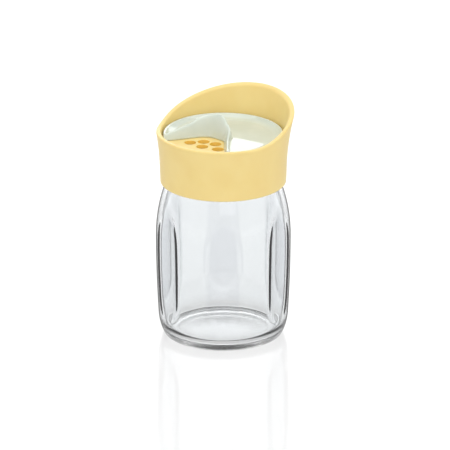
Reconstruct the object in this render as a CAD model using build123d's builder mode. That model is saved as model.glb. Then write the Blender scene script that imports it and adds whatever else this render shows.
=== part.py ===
from build123d import *
from math import cos, radians, sin, sqrt, tan
import os

# Salt shaker: a fluted glass jar, a slanted screw collar with a sieve floor, and a rotary dial
# that opens the sieve. Millimetres, +Z up, the origin on the axis where the jar stands.
# The collar is low on the pouring side, which faces -Y, and high at +Y.

os.makedirs("parts", exist_ok=True)

# Glass jar: outline, each inset measured inwards from the belly
belly_radius = 30.4
belly_height = 46.5
heel_inset = 1.1
heel_height = 10.0
foot_inset = 3.8
foot_round = 0.8
foot_width = 4.6
punt_height = 1.3
punt_round = 0.5
neck_inset = 5.3
neck_round = 8.0
neck_length = 14.1
jar_height = 89.2
lip_round = 0.7

# Glass jar: wall and floor
glass_wall = 2.3
floor_thickness = 4.4
floor_corner = 6.2

# Glass jar: flutes, cut by round hollows whose axes lean outwards by the draft
flute_count = 6
flute_phase = -54.0
flute_hollow = 36.0
flute_depth = 1.81
flute_draft = 0.87
flute_end_height = 9.0
flute_end_round = 3.0
flute_wall = 1.9

# Screw thread between the jar's neck and the collar
thread_pitch = 4.233
thread_depth = 1.2
thread_root_half = 1.05
thread_crest_half = 0.5
thread_clearance = 0.3
thread_flank_gap = 0.1
thread_bite = 0.5
thread_fade_length = 9.0
thread_fade_inset = 0.09
neck_thread_drop = 8.9
neck_thread_turns = 1.15
collar_thread_turns = 1.0
collar_thread_lead_in = 20.0
collar_crest_half = 0.4

# Sealing ring on the jar's lip
ring_thickness = 1.2
ring_clearance = 0.2
ring_chamfer = 0.2

# Collar: skirt, sieve floor, flare and slanted rim
skirt_wall = 1.66
skirt_below_neck = 2.9
skirt_edge_round = 0.4
skirt_draft = 2.0
sieve_thickness = 1.8
flare_start = 8.2
flare_bend = 108.0
rim_wall = 2.2
rim_low = 3.9
rim_high = 17.0
rim_fold_y = -8.0
rim_fold_bend = 40.0
rim_round = 0.9

# Sieve holes, placed in the dial's frame so that they follow the notch's two edges
hole_radius = 2.6
hole_places = [(-14.8, -5.4), (-8.8, -4.3), (-3.5, -7.5), (-9.4, -10.8), (-2.4, -14.3)]

# Rotary dial: disc, lip, dish and the notch that opens the sieve
pocket_depth = 0.5
dial_gap = 0.35
dial_lift = 0.1
dial_height = 3.1
dial_angle = 36.0
dial_lip = 1.5
dial_lip_round = 0.6
dish_thickness = 1.4
dish_bank = 4.0
notch_near_corner = (0.5, -4.8)
notch_far_corner = (-6.6, 2.3)
notch_slope = 18.0
notch_near_round = 3.6
notch_far_round = 7.0

# Rotary dial: finger ridge along the notch. At each station, a length along the notch's edge
# past its far corner: the crest's height, its distance behind the edge, and the back's width.
ridge_stations = [-20.0, -13.0, -7.0, -2.0, 1.5, 5.5, 9.3, 12.5, 18.0, 30.0]
ridge_heights = [2.6, 4.7, 6.5, 9.0, 10.1, 9.5, 6.3, 4.3, 3.5, 2.9]
ridge_widths = [1.8, 2.4, 3.0, 3.8, 4.0, 3.6, 2.6, 1.9, 1.5, 1.5]
ridge_backs = [2.0, 2.4, 2.8, 3.2, 3.2, 3.0, 2.5, 2.0, 1.8, 1.8]
ridge_edge = 1.2
ridge_sink = 0.6
ridge_wall = 2.8
ridge_toe = 1.0
ridge_beyond = 6.0
ridge_sections = 30

# Rotary dial: snap pin through the sieve floor
pin_radius = 2.0
pin_clearance = 0.08
pin_slot = 0.7
pin_boss = 0.8
barb_overlap = 0.45
barb_gap = 0.1
barb_length = 2.0

# Levels and radii that follow from the sizes above
foot_radius = belly_radius - foot_inset
punt_radius = foot_radius - foot_width
neck_radius = belly_radius - neck_inset
neck_base = jar_height - neck_length
jar_bore = neck_radius - glass_wall
sieve_underside = jar_height + ring_thickness
sieve_top = sieve_underside + sieve_thickness
skirt_bottom = neck_base - skirt_below_neck
skirt_bore = neck_radius + thread_depth + thread_clearance
collar_radius = skirt_bore + skirt_wall
dial_base = sieve_top + dial_lift
rim_front = sieve_top + rim_low
rim_top = sieve_top + rim_high


# Glass jar
# The belly and the neck meet in two tangent arcs whose radii add up to shoulder_sum.
shoulder_drop = neck_base - belly_height
shoulder_sum = (shoulder_drop**2 + neck_inset**2) / (2 * neck_inset)


def shoulder_joint(offset):
    """Point where the belly's arc meets the neck's, for the outline moved in by offset."""
    share = (neck_round + offset) / shoulder_sum
    neck_centre = neck_radius + neck_round
    return (neck_centre - share * (shoulder_sum - neck_inset), neck_base - share * shoulder_drop)


heel_bend = ((belly_height - heel_height) ** 2 + heel_inset**2) / (2 * heel_inset)
above_lip = jar_height + glass_wall

with BuildPart() as cavity:
    with BuildSketch(Plane.XZ) as cavity_outline:
        with BuildLine():
            inner_belly = (belly_radius - glass_wall, belly_height)
            lower_bend = heel_bend - glass_wall
            lower_drop = belly_height - floor_thickness
            lower_inset = lower_bend - sqrt(lower_bend**2 - lower_drop**2)
            floor_edge = (belly_radius - glass_wall - lower_inset, floor_thickness)
            inner_joint = shoulder_joint(glass_wall)
            Line((0, floor_thickness), floor_edge)
            TangentArc(inner_belly, floor_edge, tangent=(0, -1))
            upper = TangentArc(inner_belly, inner_joint, tangent=(0, 1))
            TangentArc(inner_joint, (jar_bore, neck_base), tangent=upper % 1)
            Line((jar_bore, neck_base), (jar_bore, above_lip))
            Polyline((jar_bore, above_lip), (0, above_lip), (0, floor_thickness))
        make_face()
        fillet(cavity_outline.vertices().sort_by_distance(floor_edge)[0], radius=floor_corner)
    revolve(axis=Axis.Z)

# Each flute's hollow is a large cylinder beside the jar. The same axis with a larger radius
# keeps the glass behind the flute at its own thickness.
flute_floor = belly_radius - flute_depth
flute_lean = (sin(radians(flute_draft)), 0, cos(radians(flute_draft)))


def flute_plane(height):
    """Plane across a flute's axis at a height, its origin on that axis."""
    outward = (height - belly_height) * tan(radians(flute_draft))
    return Plane(origin=(flute_floor + flute_hollow + outward, 0, height), z_dir=flute_lean)


with BuildPart() as flute_tool:
    with BuildSketch(flute_plane(flute_end_height)):
        Circle(flute_hollow)
    extrude(amount=jar_height - flute_end_height)
    fillet(flute_tool.edges().sort_by(Axis.Z)[0], radius=flute_end_round)

with BuildPart() as bulge_tool:
    with BuildSketch(flute_plane(-flute_hollow)):
        Circle(flute_hollow + flute_wall)
    extrude(amount=jar_height + flute_hollow)

with BuildPart() as fluted_cavity:
    add(cavity.part)
    with PolarLocations(0, flute_count, start_angle=flute_phase):
        add(bulge_tool.part, mode=Mode.SUBTRACT)

thread_slope = (thread_root_half - thread_crest_half) / thread_depth


def thread_profile(radius, crest_half, depth):
    """Trapezium across a thread, from below its root to its crest. Depth is negative inwards."""
    bite = -thread_bite if depth > 0 else thread_bite
    buried_half = crest_half + thread_slope * (thread_depth + thread_bite)
    return [
        (radius + bite, -buried_half),
        (radius + depth, -crest_half),
        (radius + depth, crest_half),
        (radius + bite, buried_half),
    ]


# The neck's thread runs out at both ends, where a flat beside the neck cuts it off.
fade_height = 2 * thread_root_half + thread_depth

with BuildPart() as neck_thread:
    with BuildLine() as neck_helix:
        Helix(thread_pitch, thread_pitch * neck_thread_turns, neck_radius)
    with BuildSketch(Plane.XZ):
        with BuildLine():
            Polyline(*thread_profile(neck_radius, thread_crest_half, thread_depth), close=True)
        make_face()
    sweep(path=neck_helix.line, is_frenet=True)
    for turn in (0, neck_thread_turns):
        with Locations(Location((0, 0, turn * thread_pitch), (0, 0, 360 * turn))):
            with Locations((neck_radius - thread_fade_inset, 0, 0)):
                Box(
                    2 * thread_depth,
                    2 * thread_fade_length,
                    fade_height,
                    align=(Align.MIN, Align.CENTER, Align.CENTER),
                    mode=Mode.SUBTRACT,
                )

neck_thread_base = jar_height - neck_thread_drop

with BuildPart() as glass_jar:
    with BuildSketch(Plane.XZ) as jar_outline:
        with BuildLine():
            belly = (belly_radius, belly_height)
            heel = (belly_radius - heel_inset, heel_height)
            foot = (foot_radius, 0)
            joint = shoulder_joint(0)
            lower = TangentArc(belly, heel, tangent=(0, -1))
            TangentArc(heel, foot, tangent=lower % 1)
            shoulder = TangentArc(belly, joint, tangent=(0, 1))
            TangentArc(joint, (neck_radius, neck_base), tangent=shoulder % 1)
            Line((neck_radius, neck_base), (neck_radius, jar_height))
            Polyline((neck_radius, jar_height), (0, jar_height), (0, punt_height))
            TangentArc((0, punt_height), (punt_radius, 0), tangent=(1, 0))
            Line((punt_radius, 0), foot)
        make_face()
        fillet(jar_outline.vertices().sort_by_distance(foot)[0], radius=foot_round)
        fillet(jar_outline.vertices().sort_by_distance((punt_radius, 0))[0], radius=punt_round)
    revolve(axis=Axis.Z)
    with PolarLocations(0, flute_count, start_angle=flute_phase):
        add(flute_tool.part, mode=Mode.SUBTRACT)
    add(fluted_cavity.part, mode=Mode.SUBTRACT)
    fillet(glass_jar.edges().group_by(Axis.Z)[-1], radius=lip_round)
    with Locations((0, 0, neck_thread_base)):
        add(neck_thread.part)
glass_jar.part.label = "glass_jar"
export_step(glass_jar.part, "parts/glass_jar.step")


# Sealing ring
with BuildPart() as sealing_ring:
    with BuildSketch(Plane.XY.offset(jar_height)):
        Circle(skirt_bore - ring_clearance)
        Circle(jar_bore + ring_clearance, mode=Mode.SUBTRACT)
    extrude(amount=ring_thickness)
    chamfer(sealing_ring.edges(), length=ring_chamfer)
sealing_ring.part.label = "sealing_ring"
export_step(sealing_ring.part, "parts/sealing_ring.step")


# Screw collar
# The flare is one arc that starts along the skirt's draft and curves outwards.
skirt_lean = (sin(radians(skirt_draft)), cos(radians(skirt_draft)))
flare_base = (collar_radius + flare_start * tan(radians(skirt_draft)), skirt_bottom + flare_start)
flare_centre = (
    flare_base[0] + flare_bend * skirt_lean[1],
    flare_base[1] - flare_bend * skirt_lean[0],
)


def flare_radius(height, offset=0.0):
    """Radius of the flare at a height, for the surface moved in by offset."""
    rise = height - flare_centre[1]
    return flare_centre[0] - sqrt((flare_bend + offset) ** 2 - rise**2)


above_rim = rim_top + rim_wall
rim_reach = flare_radius(rim_top)
pocket_radius = flare_radius(sieve_top + pocket_depth, rim_wall)
dial_radius = pocket_radius - dial_gap

# The rim is level at the front, bends over a fold, and rises in a straight slope to the back.
with BuildPart() as rim_tool:
    with BuildSketch(Plane.YZ):
        with BuildLine():
            rim_slope = (rim_top - rim_front) / (rim_reach - rim_fold_y)
            beyond = 2 * rim_reach
            front = (-beyond, rim_front)
            back = (beyond, rim_front + rim_slope * (beyond - rim_fold_y))
            FilletPolyline(front, (rim_fold_y, rim_front), back, radius=rim_fold_bend)
            Polyline(back, (beyond, 2 * back[1]), (-beyond, 2 * back[1]), front)
        make_face()
    extrude(amount=beyond, both=True)

with BuildPart() as collar_thread:
    with BuildLine() as collar_helix:
        Helix(thread_pitch, thread_pitch * collar_thread_turns, skirt_bore)
    with BuildSketch(Plane.XZ):
        with BuildLine():
            Polyline(*thread_profile(skirt_bore, collar_crest_half, -thread_depth), close=True)
        make_face()
    sweep(path=collar_helix.line, is_frenet=True)

# The collar's thread lies below the neck's, with the flank gap between the two.
crest_overlap = thread_depth - thread_clearance
flank_distance = thread_crest_half + collar_crest_half + thread_slope * crest_overlap
lead_in_climb = thread_pitch * collar_thread_lead_in / 360
collar_thread_base = neck_thread_base + lead_in_climb - flank_distance - thread_flank_gap

with BuildPart() as screw_collar:
    with BuildSketch(Plane.XZ):
        with BuildLine():
            outer_top = (flare_radius(above_rim), above_rim)
            Polyline((0, above_rim), (0, skirt_bottom), (collar_radius, skirt_bottom), flare_base)
            TangentArc(flare_base, outer_top, tangent=skirt_lean)
            Line(outer_top, (0, above_rim))
        make_face()
    revolve(axis=Axis.Z)
    fillet(screw_collar.edges().group_by(Axis.Z)[0], radius=skirt_edge_round)
    with BuildSketch(Plane.XY.offset(skirt_bottom)):
        Circle(skirt_bore)
    extrude(amount=sieve_underside - skirt_bottom, mode=Mode.SUBTRACT)
    with BuildSketch(Plane.XZ):
        with BuildLine():
            inner_heights = (sieve_top, rim_front, above_rim)
            flare_points = [(flare_radius(height, rim_wall), height) for height in inner_heights]
            ThreePointArc(*flare_points)
            Polyline(flare_points[-1], (0, above_rim), (0, sieve_top), flare_points[0])
        make_face()
    revolve(axis=Axis.Z, mode=Mode.SUBTRACT)
    with BuildSketch(Plane.XY.offset(sieve_top)):
        Circle(pocket_radius)
    extrude(amount=rim_high, mode=Mode.SUBTRACT)
    add(rim_tool.part, mode=Mode.SUBTRACT)
    rim_edge_round = min(rim_round, 0.45 * rim_wall)
    rim_edges = screw_collar.edges(Select.LAST).filter_by(GeomType.LINE, reverse=True)
    rim_edges = rim_edges.filter_by(lambda edge: edge.bounding_box().min.Z > rim_front - rim_edge_round)
    fillet(rim_edges, radius=rim_edge_round)
    with BuildSketch(Plane.XY.offset(sieve_top).rotated((0, 0, dial_angle))):
        with Locations(*hole_places):
            Circle(hole_radius)
        Circle(pin_radius + pin_clearance)
    extrude(amount=-sieve_thickness, mode=Mode.SUBTRACT)
    with Locations(Location((0, 0, collar_thread_base), (0, 0, collar_thread_lead_in))):
        add(collar_thread.part)
screw_collar.part.label = "screw_collar"
export_step(screw_collar.part, "parts/screw_collar.step")


# Rotary dial
# Its own frame is turned by dial_angle, so that the notch stands over the sieve holes.
dial_frame = Plane.XY.offset(dial_base).rotated((0, 0, dial_angle))
dial_top = dial_base + dial_height
above_dial = max(ridge_heights) + dial_height
far_reach = 2 * dial_radius
notch_rim = (
    notch_far_corner[0] - far_reach * cos(radians(notch_slope)),
    notch_far_corner[1] - far_reach * sin(radians(notch_slope)),
)
notch_front = (notch_near_corner[0], -far_reach)
notch_edge = FilletPolyline(
    notch_rim,
    notch_far_corner,
    notch_near_corner,
    notch_front,
    radius=[notch_far_round, notch_near_round],
    mode=Mode.PRIVATE,
)


def ridge_size(sizes, along):
    """Size of the ridge at a length along the notch's edge, smoothly between the stations."""
    last = len(ridge_stations) - 1
    along = min(max(along, ridge_stations[0]), ridge_stations[last])
    here = min(max(i for i, station in enumerate(ridge_stations) if station <= along), last - 1)
    slopes = []
    for i in (here, here + 1):
        before, after = max(i - 1, 0), min(i + 1, last)
        slopes.append((sizes[after] - sizes[before]) / (ridge_stations[after] - ridge_stations[before]))
    gap = ridge_stations[here + 1] - ridge_stations[here]
    share = (along - ridge_stations[here]) / gap
    ease = share**2 * (3 - 2 * share)
    bend = gap * share * (1 - share) * ((1 - share) * slopes[0] - share * slopes[1])
    return sizes[here] * (1 - ease) + sizes[here + 1] * ease + bend


def ridge_section(along):
    """Face across the ridge at a length past the far corner, on a plane square to the edge."""
    crest = ridge_size(ridge_heights, along)
    width = ridge_size(ridge_widths, along)
    back = ridge_size(ridge_backs, along)
    foot = width + back
    place = notch_edge.position_at(far_reach + along, PositionMode.LENGTH)
    heading = notch_edge.tangent_at(far_reach + along, PositionMode.LENGTH)
    with BuildSketch(Plane(origin=place, x_dir=(-heading.Y, heading.X, 0), z_dir=heading)) as section:
        with BuildLine():
            low = -dial_height
            Polyline((foot, -ridge_sink), (foot, low), (-ridge_toe, low), (-ridge_toe, ridge_edge))
            Line((-ridge_toe, ridge_edge), (0, ridge_edge))
            steep = (0.3 * width, (ridge_edge + crest) / 2)
            Bezier((0, ridge_edge), steep, (0.6 * width, crest), (width, crest))
            middle = width + back / 2
            Bezier((width, crest), (middle, crest), (middle, -ridge_sink), (foot, -ridge_sink))
        make_face()
    return section.sketch


# The ridge is one loft through sections spaced evenly from beyond the rim to beyond the front.
ridge_start = ridge_stations[0] - ridge_beyond
ridge_span = ridge_stations[-1] + ridge_beyond - ridge_start

with BuildPart() as ridge_body:
    for i in range(ridge_sections + 1):
        add(ridge_section(ridge_start + ridge_span * i / ridge_sections))
    loft()

with BuildPart() as ridge_core:
    with Locations(dial_frame.location * Location((0, 0, -ridge_wall))):
        add(ridge_body.part)
    with BuildSketch(Plane.XY.offset(dial_base)):
        Circle(pin_radius + pin_boss)
    extrude(amount=above_dial, mode=Mode.SUBTRACT)

with BuildPart() as ridge:
    with BuildSketch(Plane.XY.offset(dial_base)):
        Circle(dial_radius - dial_lip_round)
    extrude(amount=above_dial)
    with Locations(dial_frame.location):
        add(ridge_body.part, mode=Mode.INTERSECT)

with BuildPart() as rotary_dial:
    with BuildSketch(Plane.XZ):
        with BuildLine():
            dish_top = dial_base + dish_thickness
            lip_edge = (dial_radius - dial_lip, dial_top)
            dish_edge = (lip_edge[0] - dish_bank, dish_top)
            Polyline((0, dish_top), (0, dial_base), (dial_radius, dial_base))
            Polyline((dial_radius, dial_base), (dial_radius, dial_top), lip_edge)
            TangentArc(dish_edge, lip_edge, tangent=(1, 0))
            Line(dish_edge, (0, dish_top))
        make_face()
    revolve(axis=Axis.Z)
    lip_edges = rotary_dial.edges().filter_by(GeomType.CIRCLE).group_by(Axis.Z)[-1]
    fillet(lip_edges, radius=min(dial_lip_round, 0.4 * dial_lip))
    add(ridge.part)
    add(ridge_core.part, mode=Mode.SUBTRACT)
    with BuildSketch(dial_frame):
        with BuildLine():
            add(notch_edge)
            Line(notch_front, notch_rim)
        make_face()
    extrude(amount=above_dial, mode=Mode.SUBTRACT)
    with BuildSketch(Plane.XZ):
        with BuildLine():
            barb_top = sieve_underside - barb_gap
            pin_tip = barb_top - barb_length
            barb_radius = pin_radius + barb_overlap
            Polyline((0, pin_tip), (0, dial_base), (pin_radius, dial_base), (pin_radius, barb_top))
            Polyline((pin_radius, barb_top), (barb_radius, barb_top), (pin_radius - barb_overlap, pin_tip))
            Line((pin_radius - barb_overlap, pin_tip), (0, pin_tip))
        make_face()
    revolve(axis=Axis.Z)
    for turn in (0, 90):
        with Locations(Location((0, 0, pin_tip), (0, 0, turn))):
            Box(
                pin_slot,
                2 * barb_radius,
                dial_base - pin_tip,
                align=(Align.CENTER, Align.CENTER, Align.MIN),
                mode=Mode.SUBTRACT,
            )
rotary_dial.part.label = "rotary_dial"
export_step(rotary_dial.part, "parts/rotary_dial.step")
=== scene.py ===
import logging
import math
from dataclasses import dataclass
from enum import Enum
from typing import Callable, Sequence

import bmesh
import bpy
import numpy as np
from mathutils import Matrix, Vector
from mathutils.geometry import delaunay_2d_cdt


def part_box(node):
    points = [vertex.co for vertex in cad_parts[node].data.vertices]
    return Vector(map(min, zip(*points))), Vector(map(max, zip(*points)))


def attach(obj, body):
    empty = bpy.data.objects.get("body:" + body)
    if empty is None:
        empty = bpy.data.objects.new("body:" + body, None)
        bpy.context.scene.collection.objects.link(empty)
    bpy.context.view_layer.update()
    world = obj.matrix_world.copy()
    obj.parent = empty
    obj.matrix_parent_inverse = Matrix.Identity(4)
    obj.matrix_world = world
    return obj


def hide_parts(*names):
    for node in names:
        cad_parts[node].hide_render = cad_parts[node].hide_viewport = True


# Salt shaker: a fluted glass jar, a slanted yellow collar with a sieve floor, and a pale dial.
# Shapes are worked out in millimetres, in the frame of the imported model, and written in metres.

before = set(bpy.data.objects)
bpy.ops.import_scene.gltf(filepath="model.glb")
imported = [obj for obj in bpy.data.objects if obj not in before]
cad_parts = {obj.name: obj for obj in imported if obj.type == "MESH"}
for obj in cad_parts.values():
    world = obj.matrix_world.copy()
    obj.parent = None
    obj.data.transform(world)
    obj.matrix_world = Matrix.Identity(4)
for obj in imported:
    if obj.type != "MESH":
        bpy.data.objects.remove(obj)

MM = 0.001
TINY = 1e-6
FULL_TURN = 360.0
QUARTER_TURN = math.pi / 2
WHITE = "#FFFFFF"
# Sockets of a node that mixes colours: its two colour inputs and its colour output.
MIX_A, MIX_B, MIX_COLOUR = 6, 7, 2
log = logging.getLogger("salt_shaker")


class Body(Enum):
    """The moving bodies that the scene's own pieces ride on."""

    JAR = "jar"
    COLLAR = "collar"
    DIAL = "dial"


class Slot(Enum):
    """The record's material slots for those pieces."""

    GLASS = "clear_glass"
    YELLOW = "yellow_plastic"
    WHITE = "white_plastic"


class Light(Enum):
    """What a studio panel is for."""

    BOTH = "both"
    MATT = "matt"
    GLOSS = "gloss"


# Shape helpers


def blend_min(a: np.ndarray, b: np.ndarray, reach: float | np.ndarray) -> np.ndarray:
    """The lower of two heights, rounded where they cross.

    Args:
        a: First values.
        b: Second values.
        reach: Difference within which the two are rounded together.

    Returns:
        The rounded minimum.
    """
    share = np.clip(0.5 + 0.5 * (b - a) / np.maximum(reach, TINY), 0.0, 1.0)
    return b + (a - b) * share - reach * share * (1.0 - share)


def blend_max(a: np.ndarray, b: np.ndarray, reach: float | np.ndarray) -> np.ndarray:
    """The higher of two heights, rounded where they cross within a reach."""
    return -blend_min(-a, -b, reach)


def eased(share: np.ndarray, handles: Sequence[Sequence[float]]) -> np.ndarray:
    """Follows a cubic curve from (0, 0) to (1, 1).

    Args:
        share: How far along the curve's base, held within 0 and 1.
        handles: The curve's two handles.

    Returns:
        The curve's height at each share.
    """
    t = np.linspace(0.0, 1.0, 101)
    early, late = 3 * t * (1 - t) ** 2, 3 * t**2 * (1 - t)
    base, height = (early * first + late * second + t**3 for first, second in zip(*handles))
    return np.interp(np.clip(share, 0.0, 1.0), base, height)


def quarter_round(steps: int, first: int = 1) -> list[tuple[float, float]]:
    """Steps of a quarter round between two sides of a corner.

    Args:
        steps: How many steps the round takes.
        first: The step that the list starts with.

    Returns:
        For each step, the shares of the round's reach along the first and the second side.
    """
    angles = [QUARTER_TURN * step / steps for step in range(first, steps + 1)]
    return [(1 - math.sin(angle), 1 - math.cos(angle)) for angle in angles]


def cut_back(first: np.ndarray, second: np.ndarray, radius: float) -> float:
    """How far before the corner between two headings a round of a radius starts."""
    return radius * math.tan(math.acos(float(first @ second)) / 2)


def unit(vectors: np.ndarray) -> np.ndarray:
    """Plane vectors, one a row, brought to length one."""
    return vectors / np.hypot(*vectors.T)[:, None]


def left_of(headings: np.ndarray) -> np.ndarray:
    """Plane vectors, one a row, turned a quarter to the left."""
    return np.stack((-headings[:, 1], headings[:, 0]), 1)


def around(radius: float | np.ndarray, angle: np.ndarray) -> np.ndarray:
    """Plane points at distances from the axis and at angles in radians."""
    return np.stack((radius * np.cos(angle), radius * np.sin(angle)), 1)


def circle(radius: float, count: int, centre: Sequence[float] = (0.0, 0.0)) -> np.ndarray:
    """Plane points of a circle, counter-clockwise."""
    return around(radius, np.arange(count) * 2 * math.pi / count) + np.array(centre)


def turned(points: np.ndarray, degrees: float) -> np.ndarray:
    """Turns plane points about the axis.

    Args:
        points: The points, one a row.
        degrees: The angle, counter-clockwise.

    Returns:
        The turned points.
    """
    cosine, sine = math.cos(math.radians(degrees)), math.sin(math.radians(degrees))
    x, y = points.T
    return np.stack((x * cosine - y * sine, x * sine + y * cosine), 1)


def at_height(points: np.ndarray, height: float | np.ndarray) -> np.ndarray:
    """Plane points lifted to a height."""
    return np.column_stack((points, np.broadcast_to(height, len(points))))


def length_along(line: np.ndarray) -> np.ndarray:
    """Distance of each point of a line from its start, measured along it."""
    return np.concatenate(([0.0], np.cumsum(np.hypot(*np.diff(line, axis=0).T))))


def points_at(line: np.ndarray, places: Sequence[float] | np.ndarray) -> np.ndarray:
    """Points of a line at distances along it."""
    length = length_along(line)
    return np.stack([np.interp(places, length, line[:, k]) for k in (0, 1)], 1)


def soften(points: np.ndarray, corner: Sequence[float], reach: float, steps: int = 6) -> np.ndarray:
    """Rounds one corner of a line of points.

    Args:
        points: The line, one point a row.
        corner: A point near the corner to round.
        reach: How far along the line, to each side, the rounding goes.
        steps: How many steps the rounding takes.

    Returns:
        The line with the corner rounded.
    """
    at = int(np.argmin(np.hypot(*(points - np.array(corner)).T)))
    length = length_along(points)
    low, high = length[at] - reach, length[at] + reach
    start, stop = points_at(points, (low, high))
    share = np.linspace(0.0, 1.0, steps + 1)[:, None]
    curve = start * (1 - share) ** 2 + points[at] * 2 * share * (1 - share) + stop * share**2
    return np.vstack((points[length < low - TINY], curve, points[length > high + TINY]))


class Outline:
    """A line of plane points made of straight runs and tangent arcs."""

    def __init__(self, start: Sequence[float], heading: Sequence[float] = (1.0, 0.0)) -> None:
        """Starts the line at a point, facing along heading."""
        self.points = [np.array(start, float)]
        self.heading = np.array(heading, float) / np.hypot(*heading)

    def line(self, end: Sequence[float], steps: int = 1) -> "Outline":
        """Adds a straight run.

        Args:
            end: Where the run ends.
            steps: How many equal steps it takes.

        Returns:
            The outline itself.
        """
        start, stop = self.points[-1], np.array(end, float)
        self.points += [start + (stop - start) * i / steps for i in range(1, steps + 1)]
        self.heading = (stop - start) / np.hypot(*(stop - start))
        return self

    def arc(self, end: Sequence[float], steps: int) -> "Outline":
        """Adds an arc that leaves along the present heading.

        Args:
            end: Where the arc ends.
            steps: How many equal steps it takes.

        Returns:
            The outline itself.
        """
        start, ahead = self.points[-1], self.heading
        side = np.array((-ahead[1], ahead[0]))
        chord = np.array(end, float) - start
        across = chord @ side
        turn = 2.0 * math.atan2(across, chord @ ahead)
        radius = (chord @ chord) / (2.0 * across)
        for i in range(1, steps + 1):
            angle = turn * i / steps
            self.points.append(start + radius * (math.sin(angle) * ahead + (1 - math.cos(angle)) * side))
        self.heading = math.cos(turn) * ahead + math.sin(turn) * side
        return self

    def array(self) -> np.ndarray:
        """The points as an array, one row each."""
        return np.array(self.points)


def triangles_of(
    points: np.ndarray, loops: Sequence[np.ndarray], chains: Sequence[np.ndarray] = ()
) -> np.ndarray:
    """Triangulates plane points, keeping the edges of loops and chains.

    Args:
        points: Plane points, one a row.
        loops: Closed runs of indices whose edges have to stay.
        chains: Open runs of indices whose edges have to stay.

    Returns:
        Triangles over the points' convex hull, three indices a row.
    """
    edges = [(int(a), int(b)) for loop in loops for a, b in zip(loop, np.roll(loop, -1))]
    edges += [(int(a), int(b)) for chain in chains for a, b in zip(chain, chain[1:])]
    # Output 0 asks for every triangle, and points closer than the last number are taken as one.
    result = delaunay_2d_cdt([Vector(p) for p in points.tolist()], edges, [], 0, 1e-5)
    origin = [ids[0] if ids else -1 for ids in result[3]]
    faces = [[origin[k] for k in face] for face in result[2]]
    return np.array([face for face in faces if min(face) >= 0])


def inside(loop: np.ndarray, points: np.ndarray) -> np.ndarray:
    """Says which points lie inside a closed plane loop.

    Args:
        loop: The loop's corners, one a row.
        points: Points to test, one a row.

    Returns:
        One truth value for each point.
    """
    result = np.zeros(len(points), bool)
    for (x0, y0), (x1, y1) in zip(loop, np.roll(loop, -1, axis=0)):
        if y0 == y1:
            continue
        crosses = (y0 > points[:, 1]) != (y1 > points[:, 1])
        result ^= crosses & (points[:, 0] < (x1 - x0) * (points[:, 1] - y0) / (y1 - y0) + x0)
    return result


def nearest(points: np.ndarray, line: np.ndarray, batch: int = 2000) -> tuple[np.ndarray, np.ndarray]:
    """Finds the nearest corner of a line of points.

    Args:
        points: Points to measure, one a row.
        line: The line's points, one a row.
        batch: About how many points are measured at a time.

    Returns:
        The nearest corner's place in the line, and its distance, for each point.
    """
    places, gaps = [], []
    for part in np.array_split(points, max(1, len(points) // batch)):
        gap = np.hypot(part[:, None, 0] - line[None, :, 0], part[:, None, 1] - line[None, :, 1])
        places.append(gap.argmin(1))
        gaps.append(gap.min(1))
    return np.concatenate(places), np.concatenate(gaps)


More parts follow.
